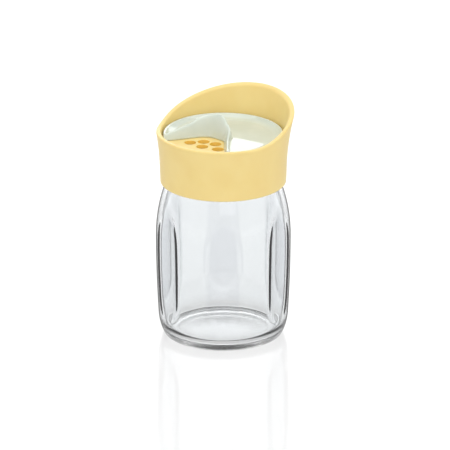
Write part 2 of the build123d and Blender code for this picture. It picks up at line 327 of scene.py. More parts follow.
class MeshDraft:
    """Points and faces of one shell, gathered row by row in millimetres."""

    def __init__(self) -> None:
        """Starts an empty shell."""
        self.points: list[np.ndarray] = []
        self.faces: list[tuple[int, ...]] = []
        self.marks: dict[str, list[tuple[np.ndarray, np.ndarray]]] = {}
        self.count = 0

    def row(self, points: np.ndarray, **marks: np.ndarray | float) -> np.ndarray:
        """Adds points and returns their indices.

        Args:
            points: One point a row, three numbers each.
            marks: Values that the points carry, kept under their names for the materials.

        Returns:
            The indices of the new points.
        """
        self.points.append(points)
        self.count += len(points)
        indices = np.arange(self.count - len(points), self.count)
        for name, values in marks.items():
            self.marks.setdefault(name, []).append((indices, np.broadcast_to(values, len(points))))
        return indices

    def strip(self, *rows: np.ndarray) -> None:
        """Joins closed rows of the same length with bands of quads.

        Args:
            rows: The indices of each row, one row after the other.
        """
        for first, second in zip(rows, rows[1:]):
            corners = (first, np.roll(first, -1), np.roll(second, -1), second)
            self.faces += list(map(tuple, np.stack(corners, 1).tolist()))

    def fan(self, row: np.ndarray, centre: Sequence[float]) -> None:
        """Closes a row with triangles to a centre point."""
        (middle,) = self.row(np.array([centre], float))
        self.faces += [(int(a), int(b), int(middle)) for a, b in zip(row, np.roll(row, -1))]

    def cells(self, indices: np.ndarray, triangles: np.ndarray) -> None:
        """Adds faces given as places in a list of indices."""
        self.faces += list(map(tuple, indices[triangles].tolist()))

    def pierced(self, outlines: Sequence[np.ndarray], indices: Sequence[np.ndarray]) -> None:
        """Fills a flat face between its outline and the holes in it.

        Args:
            outlines: Plane points of the face's outline, then of each hole.
            indices: The indices that those points have here.
        """
        points = np.vstack(outlines)
        ends = np.cumsum([len(outline) for outline in outlines])
        triangles = triangles_of(points, np.split(np.arange(len(points)), ends[:-1]))
        middles = points[triangles].mean(axis=1)
        keep = inside(outlines[0], middles)
        for outline in outlines[1:]:
            keep &= ~inside(outline, middles)
        self.cells(np.concatenate(indices), triangles[keep])

    def build(self, name: str, sharp: float = 35.0) -> bpy.types.Object:
        """Writes the shell as an object at the origin, with its faces outwards.

        Args:
            name: The object's name.
            sharp: Angle in degrees past which an edge is drawn sharp.

        Returns:
            The new object.
        """
        mesh = bpy.data.meshes.new(name)
        mesh.from_pydata((np.vstack(self.points) * MM).tolist(), [], self.faces)
        for mark, parts in self.marks.items():
            values = np.zeros(self.count, np.float32)
            for indices, part in parts:
                values[indices] = part
            mesh.attributes.new(mark, "FLOAT", "POINT").data.foreach_set("value", values)
        shell = bmesh.new()
        shell.from_mesh(mesh)
        bmesh.ops.remove_doubles(shell, verts=shell.verts, dist=1e-7)
        bmesh.ops.recalc_face_normals(shell, faces=shell.faces)
        if shell.calc_volume(signed=True) < 0:
            bmesh.ops.reverse_faces(shell, faces=shell.faces)
        shell.to_mesh(mesh)
        shell.free()
        mesh.polygons.foreach_set("use_smooth", [True] * len(mesh.polygons))
        mesh.set_sharp_from_angle(angle=math.radians(sharp))
        return placed(name, mesh)


def placed(name: str, data: bpy.types.ID) -> bpy.types.Object:
    """Puts a mesh, a lamp or a camera in the scene, at the origin.

    Args:
        name: The object's name.
        data: What the object shows.

    Returns:
        The new object.
    """
    piece = bpy.data.objects.new(name, data)
    bpy.context.scene.collection.objects.link(piece)
    return piece


# Node trees


class Nodes:
    """A node tree under construction."""

    def __init__(self, tree: bpy.types.NodeTree) -> None:
        """Takes the tree that the nodes go into."""
        self.tree = tree

    def feed(self, node: bpy.types.Node, socket: str | int, value: object) -> None:
        """Gives an input socket its value or its link.

        Args:
            node: The node that the socket is on.
            socket: The socket's name or number.
            value: The value, or another node's output as (node, output).
        """
        if isinstance(value, tuple) and isinstance(value[0], bpy.types.Node):
            self.tree.links.new(value[0].outputs[value[1]], node.inputs[socket])
        else:
            node.inputs[socket].default_value = value

    def add(self, kind: str, inputs: dict | None = None, **settings: object) -> bpy.types.Node:
        """Adds a node with its settings and links.

        Args:
            kind: Blender's name for the node.
            inputs: A value, or a (node, output) link, for each input socket that needs one.
            settings: The node's own settings.

        Returns:
            The new node.
        """
        node = self.tree.nodes.new(kind)
        for key, value in settings.items():
            setattr(node, key, value)
        for key, value in (inputs or {}).items():
            self.feed(node, key, value)
        return node


class ShapeTree(Nodes):
    """A Geometry Nodes tree with named inputs, run once on an object."""

    def __init__(self, name: str, inputs: dict[str, float | int]) -> None:
        """Starts a tree.

        Args:
            name: The tree's name.
            inputs: The value of each named input. A whole number makes a whole-number input.
        """
        super().__init__(bpy.data.node_groups.new(name, "GeometryNodeTree"))
        sockets = self.tree.interface
        sockets.new_socket("Geometry", in_out="INPUT", socket_type="NodeSocketGeometry")
        self.values: dict[str, float | int] = {}
        for label, value in inputs.items():
            kind = "NodeSocketInt" if isinstance(value, int) else "NodeSocketFloat"
            socket = sockets.new_socket(label, in_out="INPUT", socket_type=kind)
            self.values[socket.identifier] = value
        sockets.new_socket("Geometry", in_out="OUTPUT", socket_type="NodeSocketGeometry")
        self.input = self.add("NodeGroupInput")
        self.output = self.add("NodeGroupOutput")

    def finish(self, shape: tuple[bpy.types.Node, str], material: bpy.types.Material) -> None:
        """Ends the tree with real geometry in one material.

        Args:
            shape: The output with the finished shape.
            material: The material that it all gets.
        """
        real = self.add("GeometryNodeRealizeInstances", {"Geometry": shape})
        painted = self.add("GeometryNodeSetMaterial", {"Geometry": (real, "Geometry"), "Material": material})
        self.feed(self.output, "Geometry", (painted, "Geometry"))

    def run(self, piece: bpy.types.Object) -> bpy.types.Object:
        """Runs the tree on an object and keeps the result as its plain mesh.

        Args:
            piece: The object whose mesh goes in.

        Returns:
            The same object.
        """
        modifier = piece.modifiers.new(self.tree.name, "NODES")
        modifier.node_group = self.tree
        for identifier, value in self.values.items():
            modifier[identifier] = value
        bpy.context.view_layer.update()
        graph = bpy.context.evaluated_depsgraph_get()
        result = bpy.data.meshes.new_from_object(piece.evaluated_get(graph))
        piece.modifiers.remove(modifier)
        old = piece.data
        piece.data = result
        bpy.data.meshes.remove(old)
        result.name = piece.name
        result.polygons.foreach_set("use_smooth", [True] * len(result.polygons))
        return piece


def copies_around(name: str, count: int, radius_mm: float, material: bpy.types.Material) -> ShapeTree:
    """A tree that sets copies of a mesh around the axis, each turned with its place.

    Args:
        name: The tree's name.
        count: How many copies there are.
        radius_mm: How far they stand from the axis.
        material: Their material.

    Returns:
        The tree, ready to run on the object that holds one copy.
    """
    tree = ShapeTree(name, {"Count": count, "Radius": radius_mm * MM, "Step": 2 * math.pi / count})
    inputs = {"Vertices": (tree.input, "Count"), "Radius": (tree.input, "Radius")}
    ring = tree.add("GeometryNodeMeshCircle", inputs)
    number = tree.add("GeometryNodeInputIndex")
    inputs = {0: (number, "Index"), 1: (tree.input, "Step")}
    angle = tree.add("ShaderNodeMath", inputs, operation="MULTIPLY")
    axis = tree.add("ShaderNodeCombineXYZ", {"Z": (angle, "Value")})
    turn = tree.add("FunctionNodeEulerToRotation", {"Euler": (axis, "Vector")})
    inputs = {"Points": (ring, "Mesh"), "Instance": (tree.input, "Geometry"), "Rotation": (turn, "Rotation")}
    copies = tree.add("GeometryNodeInstanceOnPoints", inputs)
    tree.finish((copies, "Instances"), material)
    return tree


# Finishes


def srgb(code: str) -> tuple[float, float, float, float]:
    """Turns an sRGB hex value into linear light.

    Args:
        code: Six hex digits after a hash.

    Returns:
        Linear red, green and blue, and a full alpha.
    """
    parts = [int(code[i : i + 2], 16) / 255 for i in (1, 3, 5)]
    light = [c / 12.92 if c <= 0.04045 else ((c + 0.055) / 1.055) ** 2.4 for c in parts]
    return (light[0], light[1], light[2], 1.0)


class Finish(Nodes):
    """A node material under construction."""

    def __init__(self, name: str, sockets: dict[str, object]) -> None:
        """Starts a material with one shader and an output.

        Args:
            name: The material's name.
            sockets: Values that are the same all over, for the shader's own sockets.
        """
        self.material = bpy.data.materials.new(name)
        self.material.use_nodes = True
        super().__init__(self.material.node_tree)
        self.tree.nodes.clear()
        self.shader = self.add("ShaderNodeBsdfPrincipled", sockets)
        self.add("ShaderNodeOutputMaterial", {"Surface": (self.shader, "BSDF")})

    def clouds(self, size_mm: float, detail: float, stretch: Sequence[float] = (1, 1, 1)) -> bpy.types.Node:
        """Lays a cloudy pattern on the piece's own coordinates.

        Args:
            size_mm: Real size of one cloud, wave or grain in millimetres.
            detail: How many finer layers it has.
            stretch: Factors on the pattern's frequency along X, Y and Z.

        Returns:
            The pattern's last node, with its values on Fac.
        """
        place = self.add("ShaderNodeTexCoord")
        sized = self.add("ShaderNodeMapping", {"Vector": (place, "Object"), "Scale": tuple(stretch)})
        inputs = {"Vector": (sized, "Vector"), "Scale": 1.0 / (size_mm * MM), "Detail": detail}
        return self.add("ShaderNodeTexNoise", inputs)

    def relief(
        self, size_mm: float, detail: float, depth_mm: float, stretch: Sequence[float] = (1, 1, 1)
    ) -> None:
        """Lets waves or grains of a real size stand out of the surface by a real depth.

        Args:
            size_mm: Real size of one wave or grain in millimetres.
            detail: How many finer layers it has.
            depth_mm: How far it stands out.
            stretch: Factors on its frequency along X, Y and Z.
        """
        pattern = self.clouds(size_mm, detail, stretch)
        raised = self.add("ShaderNodeBump", {"Height": (pattern, "Fac"), "Distance": depth_mm * MM})
        self.feed(self.shader, "Normal", (raised, "Normal"))


@dataclass(frozen=True)
class SodaLimeGlass:
    """Pressed soda-lime glass, fire-polished after moulding."""

    # Fire-polishing leaves it bright and clear, with faint upright waves. The foot isn't
    # polished, so its stipple is hazy. Shade is painted into its colour: grey where it is seen at a
    # slant, darker on the flutes and a dark line along its outline. Light is painted into the foot,
    # which is tinted less.
    ior: float = 1.5
    tint: str = "#EEF0F1"
    # Painted shade: the flutes are tinted a little darker than the plain wall.
    flute_shade_tint: str = "#E7E9EB"
    # Painted shade: the glass turns this grey as it turns away from the eye.
    slope_shade_tint: str = "#A4ACB2"
    slope_shade_power: float = 3.0
    # Painted shade: a near-black line where the glass turns almost sideways to the eye.
    edge_shade_tint: str = "#07090A"
    edge_shade_span: tuple[float, float] = (0.6, 0.85)
    # Painted shade: the dark tint of the metallic line along the outline.
    outline_shade_tint: str = "#202426"
    outline_shade_span: tuple[float, float] = (0.75, 0.9)
    # Painted light: the foot and the floor keep only this share of the tint, so they show lighter.
    painted_light_foot_share: float = 0.35
    foot_roughness: float = 0.3
    wave_mm: float = 9.0
    wave_detail: float = 1.0
    wave_stretch: tuple[float, float, float] = (1.0, 1.0, 0.5)
    wave_depth_mm: float = 0.02

    @staticmethod
    def slanted(
        finish: Finish, graze: bpy.types.Node, span: tuple[float, float]
    ) -> tuple[bpy.types.Node, str]:
        """Tells how far a surface has turned away from the eye within a span.

        Args:
            finish: The material under construction.
            graze: The node with the surface's slant, from 0 facing the eye to 1 sideways.
            span: The slants where the share starts to rise and where it is whole.

        Returns:
            The output with the share.
        """
        inputs = {"Value": (graze, "Facing"), "From Min": span[0], "From Max": span[1]}
        return finish.add("ShaderNodeMapRange", inputs, interpolation_type="SMOOTHSTEP"), "Result"

    def tint_with_painted_shade(self, finish: Finish, graze: bpy.types.Node) -> None:
        """Tints the light that passes, paints shade where the glass is seen at a slant, on the flutes
        and along the outline, and paints light into the foot by tinting it less.

        Args:
            finish: The material under construction.
            graze: The node with the surface's slant.
        """
        wall = finish.add("ShaderNodeAttribute", attribute_name="wall")
        flute = finish.add("ShaderNodeAttribute", attribute_name="flute")
        # Painted shade that grows as the surface turns away from the eye.
        deeper = finish.add("ShaderNodeMath", {0: (graze, "Facing"), 1: self.slope_shade_power}, operation="POWER")
        colour: tuple = srgb(WHITE)
        for share, tint in (
            ((wall, "Fac"), self.tint),
            # painted shade on the flutes
            ((flute, "Fac"), self.flute_shade_tint),
            ((deeper, "Value"), self.slope_shade_tint),
            # painted shade along the outline
            (self.slanted(finish, graze, self.edge_shade_span), self.edge_shade_tint),
        ):
            inputs = {"Factor": share, MIX_A: colour, MIX_B: srgb(tint)}
            colour = (finish.add("ShaderNodeMix", inputs, data_type="RGBA"), MIX_COLOUR)
        # Painted light: the tint and the painted shade fade toward the foot and the floor.
        share = finish.add("ShaderNodeMapRange", {"Value": (wall, "Fac"), "To Min": self.painted_light_foot_share})
        inputs = {"Factor": (share, "Result"), MIX_A: srgb(WHITE), MIX_B: colour}
        passing = finish.add("ShaderNodeMix", inputs, data_type="RGBA")
        finish.feed(finish.shader, "Base Color", (passing, MIX_COLOUR))

    def shade_outline_and_haze_foot(self, finish: Finish, graze: bpy.types.Node) -> None:
        """Paints shade as a thin dark metallic line along the polished outline, and leaves the foot hazy
        without it.

        Args:
            finish: The material under construction.
            graze: The node with the surface's slant.
        """
        foot = finish.add("ShaderNodeAttribute", attribute_name="foot")
        haze = finish.add("ShaderNodeMapRange", {"Value": (foot, "Fac"), "To Max": self.foot_roughness})
        finish.feed(finish.shader, "Roughness", (haze, "Result"))
        # Painted shade: where the polished glass turns away from the eye it becomes a dark metal.
        inputs = {0: 1.0, 1: (foot, "Fac")}
        polished = finish.add("ShaderNodeMath", inputs, operation="SUBTRACT", use_clamp=True)
        inputs = {0: self.slanted(finish, graze, self.outline_shade_span), 1: (polished, "Value")}
        rim = finish.add("ShaderNodeMath", inputs, operation="MULTIPLY")
        finish.feed(finish.shader, "Metallic", (rim, "Value"))
        inputs = {"Factor": (rim, "Value"), MIX_A: srgb(WHITE), MIX_B: srgb(self.outline_shade_tint)}
        dark = finish.add("ShaderNodeMix", inputs, data_type="RGBA")
        finish.feed(finish.shader, "Specular Tint", (dark, MIX_COLOUR))

    def material(self) -> bpy.types.Material:
        """Builds the material.

        Returns:
            The finished material.
        """
        finish = Finish("soda_lime_glass", {"Transmission Weight": 1.0, "IOR": self.ior})
        graze = finish.add("ShaderNodeLayerWeight", {"Blend": 0.5})
        self.tint_with_painted_shade(finish, graze)
        self.shade_outline_and_haze_foot(finish, graze)
        finish.relief(self.wave_mm, self.wave_detail, self.wave_depth_mm, self.wave_stretch)
        return finish.material


@dataclass(frozen=True)
class Moulded:
    """A moulded plastic or rubber."""

    # Light goes a little way in, the melt's flow leaves clouds in colour and gloss, and the
    # mould's own surface is copied as a fine relief.
    name: str
    ior: float
    clearness: float
    glow: float
    glow_mm: float
    glow_reach: tuple[float, float, float]
    dark: str
    light: str
    roughness: tuple[float, float]
    cloud_mm: float
    cloud_detail: float
    relief_mm: float
    relief_detail: float
    relief_depth_mm: float
    cloud_span: tuple[float, float] = (0.35, 0.65)

    def colour(self, finish: Finish, even: tuple[bpy.types.Node, int]) -> tuple[bpy.types.Node, int]:
        """The output that colours the shader, from the one with the mottled colour."""
        return even

    def material(self) -> bpy.types.Material:
        """Builds the material.

        Returns:
            The finished material.
        """
        sockets = {
            "IOR": self.ior,
            "Transmission Weight": self.clearness,
            "Subsurface Weight": self.glow,
            "Subsurface Scale": self.glow_mm * MM,
            "Subsurface Radius": self.glow_reach,
        }
        finish = Finish(self.name, sockets)
        cloud = finish.clouds(self.cloud_mm, self.cloud_detail)
        span = {"Value": (cloud, "Fac"), "From Min": self.cloud_span[0], "From Max": self.cloud_span[1]}
        share = finish.add("ShaderNodeMapRange", span)
        inputs = {"Factor": (share, "Result"), MIX_A: srgb(self.dark), MIX_B: srgb(self.light)}
        mottle = finish.add("ShaderNodeMix", inputs, data_type="RGBA")
        finish.feed(finish.shader, "Base Color", self.colour(finish, (mottle, MIX_COLOUR)))
        low, high = self.roughness
        gloss = finish.add("ShaderNodeMapRange", {**span, "To Min": low, "To Max": high})
        finish.feed(finish.shader, "Roughness", (gloss, "Result"))
        finish.relief(self.relief_mm, self.relief_detail, self.relief_depth_mm)
        return finish.material


@dataclass(frozen=True)
class SatinPolypropylene(Moulded):
    """Injection-moulded polypropylene from a spark-eroded mould."""

    # The mould's fine grain makes its highlights wide and soft, and the walls of the sieve
    # holes are painted a darker, richer yellow as shade. The grain is drawn twice as coarse as it is, to
    # show.
    name: str = "satin_polypropylene"
    ior: float = 1.49
    clearness: float = 0.0
    glow: float = 0.15
    glow_mm: float = 1.2
    glow_reach: tuple[float, float, float] = (1.0, 0.8, 0.4)
    dark: str = "#F0D58A"
    light: str = "#F3DA91"
    # Painted shade in the sieve holes.
    deep: str = "#EFBF4E"
    roughness: tuple[float, float] = (0.42, 0.5)
    cloud_mm: float = 14.0
    cloud_detail: float = 3.0
    relief_mm: float = 0.45
    relief_detail: float = 2.0
    relief_depth_mm: float = 0.006

    def colour(self, finish: Finish, even: tuple[bpy.types.Node, int]) -> tuple[bpy.types.Node, int]:
        """Paints shade, a darker yellow, on the walls of the sieve holes.

        Args:
            finish: The material under construction.
            even: The output with the mottled colour.

        Returns:
            The output that colours the shader.
        """
        # Painted shade: the hole walls turn a darker yellow.
        hole = finish.add("ShaderNodeAttribute", attribute_name="deep")
        inputs = {"Factor": (hole, "Fac"), MIX_A: even, MIX_B: srgb(self.deep)}
        return finish.add("ShaderNodeMix", inputs, data_type="RGBA"), MIX_COLOUR


@dataclass(frozen=True)
class PolishedStyrene(Moulded):
    """Styrene copolymer from a polished mould."""

    # The polished mould makes it glossy and pale, and the melt's flow leaves it slightly wavy.
    name: str = "polished_styrene"
    ior: float = 1.57
    clearness: float = 0.0
    glow: float = 0.1
    glow_mm: float = 1.0
    glow_reach: tuple[float, float, float] = (1.0, 1.0, 0.9)
    dark: str = "#CED7CB"
    light: str = "#D6DED3"
    roughness: tuple[float, float] = (0.03, 0.06)
    cloud_mm: float = 11.0
    cloud_detail: float = 2.0
    relief_mm: float = 6.0
    relief_detail: float = 1.0
    relief_depth_mm: float = 0.01


@dataclass(frozen=True)
class ClearSilicone(Moulded):
    """Compression-moulded silicone rubber."""

    # It is milky, with soft-edged highlights and a faint dusty mottle.
    name: str = "clear_silicone"
    ior: float = 1.41
    clearness: float = 0.35
    glow: float = 0.3
    glow_mm: float = 1.0
    glow_reach: tuple[float, float, float] = (1.0, 0.2, 0.1)
    dark: str = "#DADAD4"
    light: str = "#E8E8E4"
    roughness: tuple[float, float] = (0.45, 0.6)
    cloud_mm: float = 3.0
    cloud_detail: float = 2.0
    relief_mm: float = 3.0
    relief_detail: float = 2.0
    relief_depth_mm: float = 0.01


@dataclass(frozen=True)
class Finishes:
    """Every material of the shaker, made once."""

    glass: bpy.types.Material
    yellow: bpy.types.Material
    white: bpy.types.Material
    silicone: bpy.types.Material

    @classmethod
    def make(cls) -> "Finishes":
        """Builds all the materials."""
        kinds = (SodaLimeGlass, SatinPolypropylene, PolishedStyrene, ClearSilicone)
        return cls(*(kind().material() for kind in kinds))


def dress(piece: bpy.types.Object, material: bpy.types.Material, body: Body, slot: Slot) -> None:
    """Gives a piece its material and the body it moves with.

    Args:
        piece: The finished object.
        material: Its material.
        body: The body it rides on.
        slot: Not used.
    """
    piece.data.materials.clear()
    piece.data.materials.append(material)
    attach(piece, body.value)
    log.info("%s: %d faces, rides on %s", piece.name, len(piece.data.polygons), body.value)


# Glass jar


@dataclass
class GlassJar:
    """The jar: outline, flutes, inner wall, neck thread and stippled foot. Sizes in millimetres."""

    finishes: Finishes
    belly_radius: float = 30.4
    belly_height: float = 46.5
    heel_inset: float = 1.1
    heel_height: float = 10.0
    foot_inset: float = 3.8
    foot_width: float = 4.6
    foot_reach: float = 1.1
    punt_height: float = 1.3
    punt_reach: float = 0.6
    neck_inset: float = 5.3
    neck_round: float = 8.0
    neck_length: float = 14.1
    lip_round: float = 0.7
    wall: float = 2.2
    neck_wall: float = 2.3
    floor: float = 2.8
    floor_reach: float = 6.65
    floor_middle: float = 0.6
    flute_count: int = 6
    flute_phase: float = -54.0
    flute_hollow: float = 36.0
    flute_depth: float = 1.81
    flute_draft: float = 0.87
    flute_end: float = -16.0
    flute_end_round: float = 36.0
    flute_wall: float = 2.25
    crease: float = 0.45
    inner_crease: float = 0.75
    crease_span: tuple[float, float] = (5.0, 15.0)
    crease_band: float = 2.2
    flute_shade_depth: float = 0.5
    flute_shade_span: tuple[float, float] = (9.0, 23.0)
    foot_height: float = 5.0
    thread_pitch: float = 4.233
    thread_depth: float = 1.2
    thread_half: float = 1.1
    thread_drop: float = 8.9
    thread_turns: float = 1.15
    thread_fade: float = 20.5
    thread_crown: float = 1.5
    stipple_height: float = 0.25
    stipple_count: int = 84
    stipple_radius: float = 0.55

    def __post_init__(self) -> None:
        """Takes the jar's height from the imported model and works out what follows."""
        self.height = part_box("glass_jar")[1].z / MM
        self.neck_base = self.height - self.neck_length
        self.neck_radius = self.belly_radius - self.neck_inset
        self.bore = self.neck_radius - self.neck_wall
        self.foot_radius = self.belly_radius - self.foot_inset
        self.punt_radius = self.foot_radius - self.foot_width

    def shoulder_joint(self, belly: float, neck: float, bend: float) -> tuple[float, float]:
        """Works out where the neck's arc meets the shoulder's, with one heading.

        Args:
            belly: Radius at the belly's widest height.
            neck: Radius of the neck.
            bend: Radius of the arc into the neck.

        Returns:
            The joint's radius and height.
        """
        rise, inset = self.neck_base - self.belly_height, belly - neck
        share = 2 * bend * inset / (rise**2 + inset**2)
        return neck + share * inset, self.neck_base - share * rise

    def outer_line(self) -> np.ndarray:
        """Draws the outer outline from the base's centre to the lip.

        Returns:
            Its points, each a radius and a height.
        """
        low = self.stipple_height
        belly, foot = (self.belly_radius, self.belly_height), (self.foot_radius, low)
        punt, lip = (self.punt_radius, low), (self.neck_radius, self.height)
        heel = (self.belly_radius - self.heel_inset, self.heel_height)
        joint = self.shoulder_joint(self.belly_radius, self.neck_radius, self.neck_round)
        base = Outline((0.0, low + self.punt_height)).arc(punt, 12).line(foot, 8)
        side = Outline(belly, (0, -1)).arc(heel, 36).arc(foot, 20)
        top = Outline(belly, (0, 1)).arc(joint, 30).arc((self.neck_radius, self.neck_base), 10)
        top.line(lip, 40).line((self.bore + self.neck_wall / 2, self.height), 3)
        line = np.vstack((base.array(), side.array()[-2::-1], top.array()[1:]))
        line = soften(line, punt, self.punt_reach, 4)
        line = soften(line, foot, self.foot_reach)
        return soften(line, lip, self.lip_round)

    def inner_line(self) -> np.ndarray:
        """Draws the inner outline from the lip to the floor's centre.

        Returns:
            Its points, each a radius and a height.
        """
        # The inner belly keeps the wall's thickness, so it shares the outer arc's centre.
        rise, drop = self.belly_height - self.heel_height, self.belly_height - self.floor
        bend = (rise**2 + self.heel_inset**2) / (2 * self.heel_inset) - self.wall
        belly, lip = (self.belly_radius - self.wall, self.belly_height), (self.bore, self.height)
        edge = (belly[0] - bend + math.sqrt(bend**2 - drop**2), self.floor)
        joint = self.shoulder_joint(belly[0], self.bore, self.neck_round + self.wall)
        neck = Outline((self.bore + self.neck_wall / 2, self.height)).line(lip, 3)
        neck.line((self.bore, self.neck_base), 14)
        side = Outline(belly, (0, 1)).arc(joint, 24).arc((self.bore, self.neck_base), 8)
        low = Outline(belly, (0, -1)).arc(edge, 42).line((self.floor_middle, self.floor), 26)
        line = np.vstack((neck.array(), side.array()[-2::-1], low.array()[1:]))
        line = soften(line, lip, self.lip_round)
        return soften(line, edge, self.floor_reach, 14)

    def flute_axis(self, height: float | np.ndarray) -> float | np.ndarray:
        """How far a flute's axis stands from the jar's, at a height."""
        lean = (height - self.belly_height) * math.tan(math.radians(self.flute_draft))
        return self.belly_radius - self.flute_depth + self.flute_hollow + lean

    def hollow_radius(self, height: float) -> float:
        """Radius of the flute's hollow at a height, smaller at its rounded lower end."""
        short = self.flute_end_round - np.clip(height - self.flute_end, 0.0, self.flute_end_round)
        return self.flute_hollow - self.flute_end_round + np.sqrt(self.flute_end_round**2 - short**2)

    @staticmethod
    def reach_at(axis: float, radius: float, angle: np.ndarray) -> np.ndarray:
        """Measures from the jar's axis to a flute's hollow.

        Args:
            axis: How far the flute's axis stands from the jar's.
            radius: Radius of the hollow.
            angle: Directions off the flute's middle, in radians.

        Returns:
            The distance in each direction, and the axis's own where the hollow isn't met.
        """
        gap = radius**2 - (axis * np.sin(angle)) ** 2
        reach = axis * np.cos(angle) - np.sqrt(np.maximum(gap, 0.0))
        return np.where(gap > 0, reach, axis)

    def crease_angle(self, line: np.ndarray, inset: float) -> np.ndarray:
        """Works out a flute's half-angle at each point of an outline.

        Args:
            line: The outline.
            inset: How much larger than the outer flute's the hollow's radius is.

        Returns:
            Half-angles in degrees.
        """
        axis, radius = self.flute_axis(line[:, 1]), np.maximum(line[:, 0], 1.0)
        cosine = (axis**2 + radius**2 - (self.flute_hollow + inset) ** 2) / (2 * axis * radius)
        angle = np.degrees(np.arccos(np.clip(cosine, -1.0, 1.0)))
        return np.clip(angle, *self.crease_span)

    def columns(self, crease: float) -> np.ndarray:
        """Spaces the columns of points, close together along the flutes' edges.

        Args:
            crease: Half-angle of a flute in degrees.

        Returns:
            Angles in degrees, from the middle of the first flute around the jar.
        """
        sector = FULL_TURN / self.flute_count
        before, after = crease - self.crease_band, crease + self.crease_band
        flute = np.linspace(0.0, before, 8)
        edge = np.linspace(before, after, 10)[1:]
        between = np.linspace(after, sector / 2, 13)[1:]
        half = np.concatenate((flute, edge, between))
        whole = np.concatenate((half[:-1], sector - half[:0:-1]))
        return np.concatenate([whole + sector * k for k in range(self.flute_count)])

    def thread(self, angle: np.ndarray, height: float) -> np.ndarray:
        """Works out how far the neck's thread stands out.

        Args:
            angle: Angles around the jar in degrees.
            height: Height of the ring.

        Returns:
            The thread's depth at each angle.
        """
        stand = np.zeros_like(angle)
        for lap in range(math.ceil(self.thread_turns)):
            along = np.mod(angle, FULL_TURN) + FULL_TURN * lap
            centre = self.height - self.thread_drop + self.thread_pitch * along / FULL_TURN
            across = np.clip(np.abs(height - centre) / self.thread_half, 0.0, 1.0)
            start = np.clip(along / self.thread_fade, 0.0, 1.0)
            end = np.clip((FULL_TURN * self.thread_turns - along) / self.thread_fade, 0.0, 1.0)
            ends = np.sin(QUARTER_TURN * start) * np.sin(QUARTER_TURN * end)
            crown = np.cos(QUARTER_TURN * across) ** self.thread_crown
            stand = np.maximum(stand, self.thread_depth * ends * crown)
        return stand

    def ring(self, radius: float, height: float, crease: float, inner: bool) -> tuple[np.ndarray, dict]:
        """Draws one ring of the wall, with the flutes and the thread.

        Args:
            radius: Radius of the plain outline.
            height: Height of the ring.
            crease: Half-angle of a flute there, in degrees.
            inner: Whether the ring is on the inner wall.

        Returns:
            The ring's points, and the marks that they carry for the glass.
        """
        inset, rounding = (self.flute_wall, self.inner_crease) if inner else (0.0, self.crease)
        column, sector = self.columns(crease), FULL_TURN / self.flute_count
        off = np.radians(np.mod(column + sector / 2, sector) - sector / 2)
        reach, cut = np.full_like(off, radius), np.zeros_like(off)
        if radius > self.punt_radius:
            flute = self.reach_at(self.flute_axis(height), self.hollow_radius(height) + inset, off)
            reach = blend_min(reach, flute, rounding)
            # The flute mark places the flutes' painted shade, faded in above the foot.
            low, high = self.flute_shade_span
            fade = np.clip((height - low) / (high - low), 0.0, 1.0)
            cut = np.clip((radius - reach) / self.flute_shade_depth, 0.0, 1.0) * fade
        angle = column + self.flute_phase
        if not inner and height > self.neck_base and radius > self.neck_radius - TINY:
            reach = reach + self.thread(angle, height)
        foot = 0.0 if inner else np.clip(1.0 - height / self.foot_height, 0.0, 1.0)
        # The wall mark fades the tint and painted shade near the foot and floor, as painted light.
        level = self.floor if inner else 0.0
        wall = np.clip((height - level) / self.foot_height, 0.0, 1.0)
        points = at_height(around(reach, np.radians(angle)), height)
        return points, {"flute": cut, "foot": foot, "wall": wall}

    def shell(self) -> bpy.types.Object:
        """Builds the jar's one closed shell, outside and inside.

        Returns:
            The shell as an object.
        """
        rings = []
        for line, inner in ((self.outer_line(), False), (self.inner_line(), True)):
            creases = self.crease_angle(line, self.flute_wall if inner else 0.0)
            rings += [self.ring(*point, crease, inner) for point, crease in zip(line, creases)]
        draft = MeshDraft()
        rows = [draft.row(points, **marks) for points, marks in rings[1:-1]]
        draft.strip(*rows)
        for row, (points, _) in ((rows[0], rings[0]), (rows[-1], rings[-1])):
            draft.fan(row, (0.0, 0.0, points[0, 2]))
        return draft.build("glass_jar_shell", sharp=80.0)

    def stipple(self) -> bpy.types.Object:
        """Builds the ring of small bumps that the jar stands on.

        Returns:
            The whole ring as one object.
        """
        draft, sides, low, steps = MeshDraft(), 12, self.stipple_height, 4
        rows = [draft.row(at_height(circle(self.stipple_radius, sides), 2 * low))]
        for step in range(steps):
            angle = QUARTER_TURN * step / steps
            ring = circle(self.stipple_radius * math.cos(angle), sides)
            rows.append(draft.row(at_height(ring, low * (1 - math.sin(angle)))))
        draft.strip(*rows)
        draft.fan(rows[0], (0.0, 0.0, 2 * low))
        draft.fan(rows[-1], (0.0, 0.0, 0.0))
        bump = draft.build("foot_stipple", sharp=60.0)
        middle = (self.punt_radius + self.foot_radius) / 2
        return copies_around("stipple_ring", self.stipple_count, middle, self.finishes.glass).run(bump)

    def build(self) -> None:
        """Builds and dresses the jar's pieces."""
        shell = self.shell()
        dress(shell, self.finishes.glass, Body.JAR, Slot.GLASS)
        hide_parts("glass_jar")
        dress(self.stipple(), self.finishes.glass, Body.JAR, Slot.GLASS)


# Screw collar


